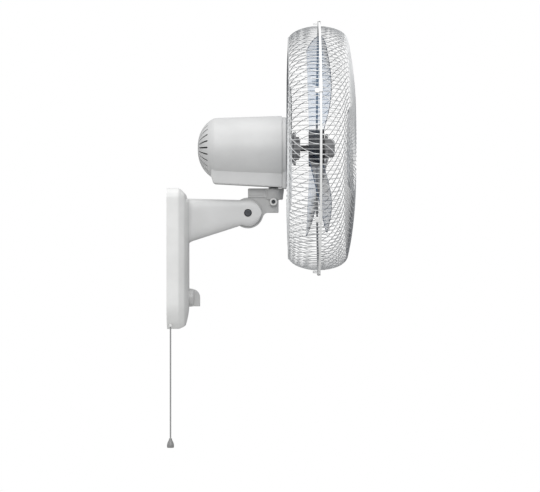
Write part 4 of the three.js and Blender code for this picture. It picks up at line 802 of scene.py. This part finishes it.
def housing_profile(inset):
    """The motor housing's side, drawn in: the dome is x = rear + length·(1 − (1 − s^2.4)^0.76) at radius s·R,
    then the barrel widens in a straight line to the seam."""
    s = np.sin(np.linspace(0, np.pi / 2, 34))
    length, radius = 30.6 - inset, 53.9 - inset
    dome = np.stack([-134.7 + 30.6 - length * (1 - s**2.4) ** 0.76, radius * s], -1)
    seam = SEAM + 1 if inset else SEAM
    return np.concatenate([dome, [(seam, 57.8 - inset), (seam, 0)]])


def chin_outline(inset, front):
    """The chin's side, drawn in: a flat underside that falls 6.6 mm over the 121.2 mm from the slanted rear
    corner to the seam, and on to the front."""
    low = -69.8 - (front - SEAM) * 6.6 / 121.2 + inset
    rear = -110.5 + inset
    corners = [(rear, -30), (rear, -50), (rear + 4.1, -63.2 + inset), (front, low), (front, -30)]
    return soften(corners, 3.0)


class WALLFAN_OT_motor_cover(bpy.types.Operator):
    """Moulds the motor's rear cover with its vents, and the front cover with its nose"""

    bl_idname = "wallfan.motor_cover"
    bl_label = "Motor covers"

    def execute(self, context):
        # The chin is made too long, and cut flat at the seam.
        skin, half, end = 1.8, 35.4, 24
        cover = body("rear_shell", lathe(housing_profile(0.0), "X", HEAD, 144))
        chin = body("chin", prism(chin_outline(0.0, end), "Y", -half, half, HEAD, 2.5, 5))
        carve(chin, body("seam", prism(box((SEAM, end + 6), (-80, -20)), "Y", -40, 40, HEAD)))
        carve(cover, chin, "UNION")
        hollow = body("hollow", lathe(housing_profile(skin), "X", HEAD, 96))
        room = prism(chin_outline(skin, end), "Y", skin - half, half - skin, HEAD)
        carve(hollow, body("chin_hollow", room), "UNION")
        carve(cover, hollow)
        # Two rings of 24 slots that widen outwards, cut along the fan axis right through the dome.
        slots = []
        a = np.linspace(0, np.pi, 7)
        for low, high in ((7.5, 17.0), (19.5, 46.5)):
            thin, wide = (0.6 + 0.018 * radius for radius in (low, high))
            outer = np.stack([wide * np.cos(a), high - wide + wide * np.sin(a)], -1)
            inner = np.stack([-thin * np.cos(a), low + thin - thin * np.sin(a)], -1)
            outline = np.concatenate([outer, inner])
            slots += [prism(turned(outline, np.radians(15 * k)), "X", -140, -106, HEAD) for k in range(24)]
        carve(cover, body("slots", *slots))
        # A thin black sheet behind the slots is painted shade: it makes the vents look as dark as the shadow
        # inside the motor.
        dome = housing_profile(2.4)[:26]
        shade_sheet = np.concatenate([dome, (dome + (0.8, -0.8))[::-1]])
        shade_sheet[-1, 1] = 0
        shade_sheet = body("vent_shade_sheet", lathe(shade_sheet, "X", HEAD, 96))
        settle(shade_sheet, "head", "black_plastic", "black rubber")
        carve(cover, rod("Z", HEAD, -75, -55, 10.8, 64))
        settle(cover, "head", "white_plastic", "off-white moulded ABS", "rear_cover")

        # The front cover: a boss inward to the bearing, the flange at the seam and the nose the guard nut is on.
        profile = [(-11.7, 15), (-11.7, 19), (15.1, 21), (15.1, 55.4), (21.7, 55.4), (23.2, 53.9), (23.2, 15.0)]
        profile += [(43.4, 15), (44, 14.4), (44, 5.2), (19.2, 5.2), (19.2, 15)]
        rounds = [0.2, 0.2, 0.2, 0.2, 1.2, 1.2, 0.4, 0.4, 0.4, 0.4, 0.2, 0.2]
        front = body("front_shell", lathe(soften(profile, rounds), "X", HEAD, 144, ring=True))
        lip = soften([(15.1, -30), (15.1, -70.8), (23.2, -72.2), (23.2, -30)], 1.6)
        carve(front, body("front_chin", prism(lip, "Y", -half, half, HEAD, 1.5, 4)), "UNION")
        settle(front, "head", "white_plastic", "off-white moulded ABS", "front_cover")
        return {"FINISHED"}


def bezier(points, count):
    """A quadratic curve through three control points."""
    t = np.linspace(0, 1, count)[:, None]
    a, b, c = (np.array(p, float) for p in points)
    return (1 - t) ** 2 * a + 2 * t * (1 - t) * b + t**2 * c


def cage_wires(path, count, wire, twist, reach=1.0):
    """Round wires along a path of (x, radius) pairs that ends or begins at the rim, evenly round the axis. At a
    length s from the rim a wire has turned by twist·s²/(s² + reach²). Its section is a square on the cage's own
    normal, whose corners lie 1.12 radii out: over all turns it then shows as wide as the round wire."""
    x, radius = path[:, 0], path[:, 1]
    step = np.r_[0, np.cumsum(np.linalg.norm(np.diff(path, axis=0), axis=1))]
    step = step if radius[0] > radius[-1] else step[-1] - step
    turn = twist * step**2 / (step**2 + reach**2)
    angle = turn[None, :] + np.linspace(0, 2 * np.pi, count, endpoint=False)[:, None]
    outward = np.stack([np.zeros_like(angle), np.sin(angle), np.cos(angle)], -1)
    points = outward * radius[None, :, None] + np.array([1.0, 0, 0]) * x[None, :, None]
    along = np.gradient(path, axis=0)
    along /= np.linalg.norm(along, axis=1, keepdims=True)
    normal = outward * along[None, :, :1] - np.array([1.0, 0, 0]) * along[None, :, 1:]
    heading = np.gradient(points, axis=1)
    side = np.cross(heading, normal)
    side /= np.linalg.norm(side, axis=-1, keepdims=True)
    a = np.radians([45, 135, 225, 315])[None, None, :, None]
    section = np.cos(a) * normal[:, :, None] + np.sin(a) * side[:, :, None]
    skin = points[:, :, None] + wire * 1.12 * section
    ends = [np.repeat(points[:, k, None, None], 4, 2) for k in (0, -1)]
    return surface(np.concatenate([ends[0], skin, ends[1]], 1) + HEAD, False, True)


def wire_hoop(x, radius, wire=RIM_WIRE, sides=8):
    """A round wire bent to a hoop about the fan axis."""
    return lathe(circle(wire, (x, radius), sides), "X", HEAD, 192, ring=True)


class WALLFAN_OT_guards(bpy.types.Operator):
    """Bends and welds the two wire guards"""

    bl_idname = "wallfan.guards"
    bl_label = "Wire guards"

    def execute(self, context):
        want = context.scene.wall_fan_cage
        # The middle of the back is sunk forward by 8 mm, inside the middle hoop. The straight wires run from
        # the rim to the outer hoop of the back.
        sunk = [(25.5, REAR_HUB_RADIUS + 0.6), (29.5, 48), (REAR_MID, 66), (REAR_MID, 88)]
        sunk += [(REAR_MID - 1.5, REAR_MID_RADIUS)]
        back = [(26.0, 119), (REAR_FACE, 132), (REAR_FACE + 0.8, 160), (REAR_FACE + 2, 183)]
        shoulder = [(REAR_FACE + 3.5, REAR_EDGE_RADIUS), (36.5, 211.5), (REAR_RIM - 12, RIM_RADIUS)]
        shoulder = np.concatenate([bezier(shoulder, 8), [(REAR_RIM, RIM_RADIUS)]])
        path = np.concatenate([sunk, back, shoulder])
        spirals = cage_wires(path, want.spirals, want.wire_radius, want.twist, 145)
        straights = cage_wires(shoulder, want.straights, want.wire_radius * 0.75, 0)
        hoops = [wire_hoop(24.8, REAR_HUB_RADIUS, 1.3), wire_hoop(REAR_MID - 2.5, REAR_MID_RADIUS, 0.9)]
        hoops += [wire_hoop(REAR_FACE + 2.5, REAR_EDGE_RADIUS, 0.65), wire_hoop(REAR_RIM, RIM_RADIUS)]
        plate = [(23.5, 15.3), (23.5, 34), (25.9, 34), (25.9, 30), (25.0, 28.5), (25.0, 20), (25.9, 18.5)]
        plate += [(25.9, 15.3)]
        plate = lathe(soften(plate, 0.4), "X", HEAD, 96, ring=True)
        guard = body("rear_wire_guard", spirals, straights, *hoops, plate, sharp=60)
        hang(guard, "head", "guard_wire", "powder-coated wire", "rear_guard")

        # The front runs over its edge to a crest, and from there dips to the disc.
        crest = (144.3, 100)
        side = bezier([(FRONT_RIM + 8, RIM_RADIUS), (123.9, 212.1), (FRONT_EDGE, FRONT_EDGE_RADIUS)], 8)
        side = np.concatenate([[(FRONT_RIM, RIM_RADIUS)], side])
        face = bezier([(FRONT_EDGE, FRONT_EDGE_RADIUS), (140.3, 158.4), crest], 8)[1:]
        dip = bezier([crest, (145.3, 80), (FRONT_HUB, FRONT_HUB_RADIUS + 1)], 4)[1:]
        path = np.concatenate([side, face, dip])
        spirals = cage_wires(path, want.spirals, want.wire_radius, -want.twist, 83)
        straights = cage_wires(side[:-2], want.straights, want.wire_radius * 0.75, 0)
        hoops = [wire_hoop(FRONT_RIM, RIM_RADIUS), wire_hoop(FRONT_HUB, FRONT_HUB_RADIUS, 1.3)]
        guard = body("front_wire_guard", spirals, straights, *hoops, sharp=60)
        hang(guard, "head", "guard_wire", "powder-coated wire", "front_guard")
        return {"FINISHED"}


class WALLFAN_OT_clamp_ring(bpy.types.Operator):
    """Makes the clamp ring, its six clips and the disc at the front guard's middle"""

    bl_idname = "wallfan.clamp_ring"
    bl_label = "Clamp ring"

    def execute(self, context):
        low, high, edge = RIM_PLANE - 2.0, RIM_PLANE + 2.0, RING_RADIUS
        band = [(low, 217.6), (low, edge), (low + 0.6, edge), (low + 1.2, edge - 0.4)]
        band += [(high - 1.2, edge - 0.4), (high - 0.6, edge), (high, edge), (high, 217.6)]
        band = lathe(soften(band, 0.35), "X", HEAD, 288, ring=True)
        settle(body("clamp_hoop", band), "head", "bright_white", "bright white polypropylene", "clamp_ring")

        # A clip is a channel over the ring, bent to it, with a rounded lug behind the ring at its lower end.
        u = [(-3.0, 219), (-3.0, 226.4), (3.0, 226.4), (3.0, 219), (2.1, 219), (2.1, 225.2), (-2.1, 225.2)]
        u = soften(u + [(-2.1, 219)], [0.3, 1.0, 1.0, 0.3, 0.2, 0.2, 0.2, 0.2])
        channel = prism(u, "Z", -12.5, 12.5, WALL, 0.5, 3)
        lug = soften(box((-12.5, -3.8), (-10.4, -2.5)), [3.6, 3.6, 0.2, 0.2], 8)
        lug = prism(lug, "Z", 219.0, 223.2, WALL, 0.6, 3)
        for k in range(6):
            turn = math.radians(270 + 26.6 + 60 * k)
            patches = []
            for (points, faces), (along, out, around) in ((channel, (0, 1, 2)), (lug, (1, 2, 0))):
                angle = turn + points[:, around] / RING_RADIUS
                out = points[:, out]
                points = np.stack([points[:, along] + RIM_PLANE, out * np.sin(angle), out * np.cos(angle)], -1)
                patches.append((points + HEAD, faces))
            clip = joined(f"clip_{k + 1}", *patches)
            settle(clip, "head", "bright_white", "bright white polypropylene", f"guard_clip_{k + 1}")

        disc = [(132.5, 0), (132.5, 64.6), (134, 65.2), (135.5, 64.6), (136.4, 61), (135.9, 59.5), (136.9, 58)]
        disc = soften(disc + [(138.4, 40), (139.4, 0)], 1.5, closed=False)
        disc = body("badge_disc_blank", lathe(disc, "X", HEAD, 128))
        settle(disc, "head", "bright_white", "bright white polypropylene", "front_badge_disc")
        return {"FINISHED"}


class WALLFAN_OT_guard_nut(bpy.types.Operator):
    """Moulds the nut that holds the rear guard: a dished flange and a ribbed grip"""

    bl_idname = "wallfan.guard_nut"
    bl_label = "Guard nut"

    def execute(self, context):
        profile = [(26.2, 15.3), (26.2, 22), (34.5, 27), (36, 30), (40, 30), (37.5, 22), (39, 18.4)]
        profile += [(47.4, 17.4), (47.4, 8), (44.6, 8), (44.6, 15.3)]
        profile = soften(profile, [0.3, 0.8, 0.8, 0.8, 0.8, 1.5, 1.5, 0.8, 0.4, 0.2, 0.2])
        nut = body("guard_nut_shell", lathe(profile, "X", HEAD, 128, ring=True))
        rib = soften(box((-1.3, 1.3), (16.4, 20.6)), 0.6)
        for k in range(8):
            ridge = prism(turned(rib, 2 * math.pi * k / 8), "X", 37.6, 45.6, HEAD, 0.5, 2)
            carve(nut, body("rib", ridge), "UNION")
        settle(nut, "head", "dark_grey_plastic", "dark grey moulded ABS", "guard_nut")
        return {"FINISHED"}


def blade_points(u, v, turn):
    """A blade's middle: u runs from the rear edge at −1 to the front edge at 1, and v from drum to tip.

    The radius reaches 200 − (8 + 4u)·u⁴ at the tip. The angle is turn − u·sweep, with a sweep of 31° at the
    drum and 23.5° at the tip. From x = 64 − 4.5v the blade climbs by 24.5 + 9v + 11·sin(πv) to its front
    edge, with a camber of 2.5·(1 − u²)."""
    drum, tip = 34.8, 200 - (8 + 4 * u) * u**4
    radius = drum + v * (tip - drum)
    angle = np.radians(turn - u * (31 - 7.5 * v))
    climb = (u + 1) / 2 * (24.5 + 9 * v + 11 * np.sin(np.pi * v))
    x = 64 - 4.5 * v + climb + 2.5 * (1 - u**2)
    return np.stack([x, radius * np.sin(angle), radius * np.cos(angle)], -1)


class WALLFAN_OT_blades(bpy.types.Operator):
    """Moulds the three blades on their drum"""

    bl_idname = "wallfan.blades"
    bl_label = "Blades"

    def execute(self, context):
        u = np.sin(np.linspace(-np.pi / 2, np.pi / 2, 34))[:, None]
        v = np.concatenate([np.linspace(0, 0.94, 26), [0.965, 0.985, 0.995, 1.0]])[None, :]
        u, v = np.broadcast_arrays(u, v)
        # Half the sheet's 2 mm, thinned to nothing along the edges and at the tip, and in the drum's wall.
        half = np.sqrt(np.maximum(1 - u**16, 0)) * np.sqrt(np.maximum(1 - v**60, 0)) * np.minimum(v * 400, 1)
        lift = half[..., None] * np.array([1.0, 0, 0])
        patches = []
        for k in range(3):
            middle = blade_points(u, v, 120 * k) + HEAD
            (front, faces), (back, _) = surface(middle + lift), surface(middle - lift)
            turned_back = [[i + len(front) for i in face][::-1] for face in faces]
            patches.append((np.concatenate([front, back]), faces + turned_back))
        drum = [(59.7, 33.1), (59.7, 36.5), (87.0, 36.5), (87.0, 33.1)]
        drum = lathe(soften(drum, 0.6), "X", HEAD, 128, ring=True)
        blades = body("blade_set", *patches, drum, sharp=50)
        hang(blades, "rotor", "blue_translucent", "clear blue styrene", "fan_blades")

        # The sheet's tint gathers in its front edge and tip: a dark line runs along both.
        u = np.r_[np.full(24, 0.99), np.cos(np.linspace(0.3, 2.9, 20))]
        v = np.r_[np.linspace(0.01, 0.985, 24), np.full(20, 0.99)]
        edges = tube("blade_edges", 0.7, 1, [blade_points(u, v, 120 * k) + HEAD for k in range(3)])
        hang(edges, "rotor", "blue_translucent", "deep blue styrene")
        return {"FINISHED"}


class WALLFAN_OT_hub(bpy.types.Operator):
    """Moulds the black hub core and the grey nut that holds the blades"""

    bl_idname = "wallfan.hub"
    bl_label = "Hub"

    def execute(self, context):
        profile = [(47.9, 4.3), (47.9, 5.4), (62.7, 5.4), (62.7, 32.5), (87.3, 32.5), (87.3, 34)]
        profile += [(90, 34), (90, 4.3)]
        core = body("hub_core_moulding", lathe(soften(profile, 0.5), "X", HEAD, 128, ring=True))
        settle(core, "rotor", "black_plastic", "black phenolic", "hub_core")

        profile = [(90.3, 0), (90.3, 18), (92, 18), (103.9, 16.4), (108.1, 13.8), (108.9, 12), (108.9, 0)]
        profile = soften(profile, [0, 0.6, 0.6, 2, 1.5, 0.8, 0], closed=False)
        nut = body("blade_nut_shell", lathe(profile, "X", HEAD, 96))
        lobe = soften(box((-5.5, 5.5), (13, 25)), [0.5, 0.5, 3.5, 3.5])
        for k in range(3):
            grip = prism(turned(lobe, 2 * math.pi * k / 3), "X", 91.4, 97, HEAD, 0.8, 3)
            carve(nut, body("lobe", grip), "UNION")
        carve(nut, rod("X", HEAD, 89, 102, 4.3))
        settle(nut, "rotor", "dark_grey_plastic", "dark grey moulded ABS", "spinner")
        return {"FINISHED"}


class WALLFAN_OT_studio(bpy.types.Operator):
    """Lays the pale floor and sets the soft light"""

    bl_idname = "wallfan.studio"
    bl_label = "Studio"

    def execute(self, context):
        want = context.scene.wall_fan_studio
        moulded("pale paper", sRGB("#E6E6E5"), 0.9, grain=6, relief=0.05, mottle=0.01)
        height = want.floor / MM
        reach, thickness = 1200, 4
        disc = [(height, 0), (height, reach), (height - thickness, reach), (height - thickness, 0)]
        floor = body("studio_floor", lathe(disc, "Z", (180, 0, 0), 128))
        floor.data.materials.append(bpy.data.materials["pale paper"])

        # The picture's ground is white. The light comes from all round, most from above, and more from the
        # wall's side. Camera rays see plain white.
        world = bpy.data.worlds.new("white studio")
        world.use_nodes = True
        tree = world.node_tree
        tree.nodes.clear()
        seen = add(tree, "ShaderNodeBackground", {"Color": (1, 1, 1, 1), "Strength": 1.0})
        aim = {0: add(tree, "ShaderNodeTexCoord").outputs["Generated"], 1: (-0.35, -0.2, 0.82)}
        aim = add(tree, "ShaderNodeVectorMath", aim, operation="DOT_PRODUCT").outputs["Value"]
        span = {"Value": aim, "From Min": -1.0, "To Min": want.sky * 0.1, "To Max": want.sky * 1.9}
        strength = add(tree, "ShaderNodeMapRange", span).outputs["Result"]
        lit = add(tree, "ShaderNodeBackground", {"Color": (*sRGB("#F8F9FB"), 1), "Strength": strength})
        ray = add(tree, "ShaderNodeLightPath").outputs["Is Camera Ray"]
        both = add(tree, "ShaderNodeMixShader", {0: ray, 1: lit.outputs[0], 2: seen.outputs[0]})
        add(tree, "ShaderNodeOutputWorld", {"Surface": both.outputs[0]})
        context.scene.world = world
        context.scene.view_settings.view_transform = "Standard"

        for name, power, size, spot in (
            ("overhead soft box", want.lamp, 2.0, (0.1, -0.7, 2.6)),
            ("side soft box", want.fill, 1.6, (0.3, -3.3, 1.6)),
        ):
            light = bpy.data.lights.new(name, "AREA")
            light.shape, light.size, light.energy = "DISK", size, power
            lamp = bpy.data.objects.new(name, light)
            lamp.location = spot
            towards_fan = Vector((0.19, 0, 0.1)) - Vector(spot)
            lamp.rotation_euler = towards_fan.to_track_quat("-Z", "Y").to_euler()
            context.scene.collection.objects.link(lamp)
        return {"FINISHED"}


class WALLFAN_PT_pieces(bpy.types.Panel):
    """Lists the settings and the pieces"""

    bl_label = "Wall Fan"
    bl_idname = "WALLFAN_PT_pieces"
    bl_space_type = "VIEW_3D"
    bl_region_type = "UI"
    bl_category = "Wall Fan"

    def draw(self, context):
        for group in ("wall_fan_finishes", "wall_fan_cage", "wall_fan_studio"):
            settings = getattr(context.scene, group)
            column = self.layout.column(align=True)
            for name in settings.__annotations__:
                column.prop(settings, name)
        for operator in OPERATORS:
            self.layout.operator(operator.bl_idname)


# The finishes come first, because each piece looks up its material among them; the camera and the cord follow.
OPERATORS = (
    WALLFAN_OT_finishes,
    WALLFAN_OT_camera,
    WALLFAN_OT_pull_cord,
    WALLFAN_OT_wall_box,
    WALLFAN_OT_knob,
    WALLFAN_OT_arm,
    WALLFAN_OT_tilt_bolt,
    WALLFAN_OT_neck,
    WALLFAN_OT_motor_cover,
    WALLFAN_OT_guards,
    WALLFAN_OT_clamp_ring,
    WALLFAN_OT_guard_nut,
    WALLFAN_OT_blades,
    WALLFAN_OT_hub,
    WALLFAN_OT_studio,
)
GROUPS = {
    "wall_fan_finishes": WallFanFinishes,
    "wall_fan_cage": WallFanCage,
    "wall_fan_studio": WallFanStudio,
}


def register():
    for kind in (*GROUPS.values(), *OPERATORS, WALLFAN_PT_pieces):
        bpy.utils.register_class(kind)
    for name, group in GROUPS.items():
        setattr(bpy.types.Scene, name, bpy.props.PointerProperty(type=group))


def unregister():
    for name in GROUPS:
        delattr(bpy.types.Scene, name)
    for kind in (WALLFAN_PT_pieces, *reversed(OPERATORS), *GROUPS.values()):
        bpy.utils.unregister_class(kind)


def main():
    register()
    for operator in OPERATORS:
        family, name = operator.bl_idname.split(".")
        getattr(getattr(bpy.ops, family), name)()


if __name__ == "__main__":
    main()
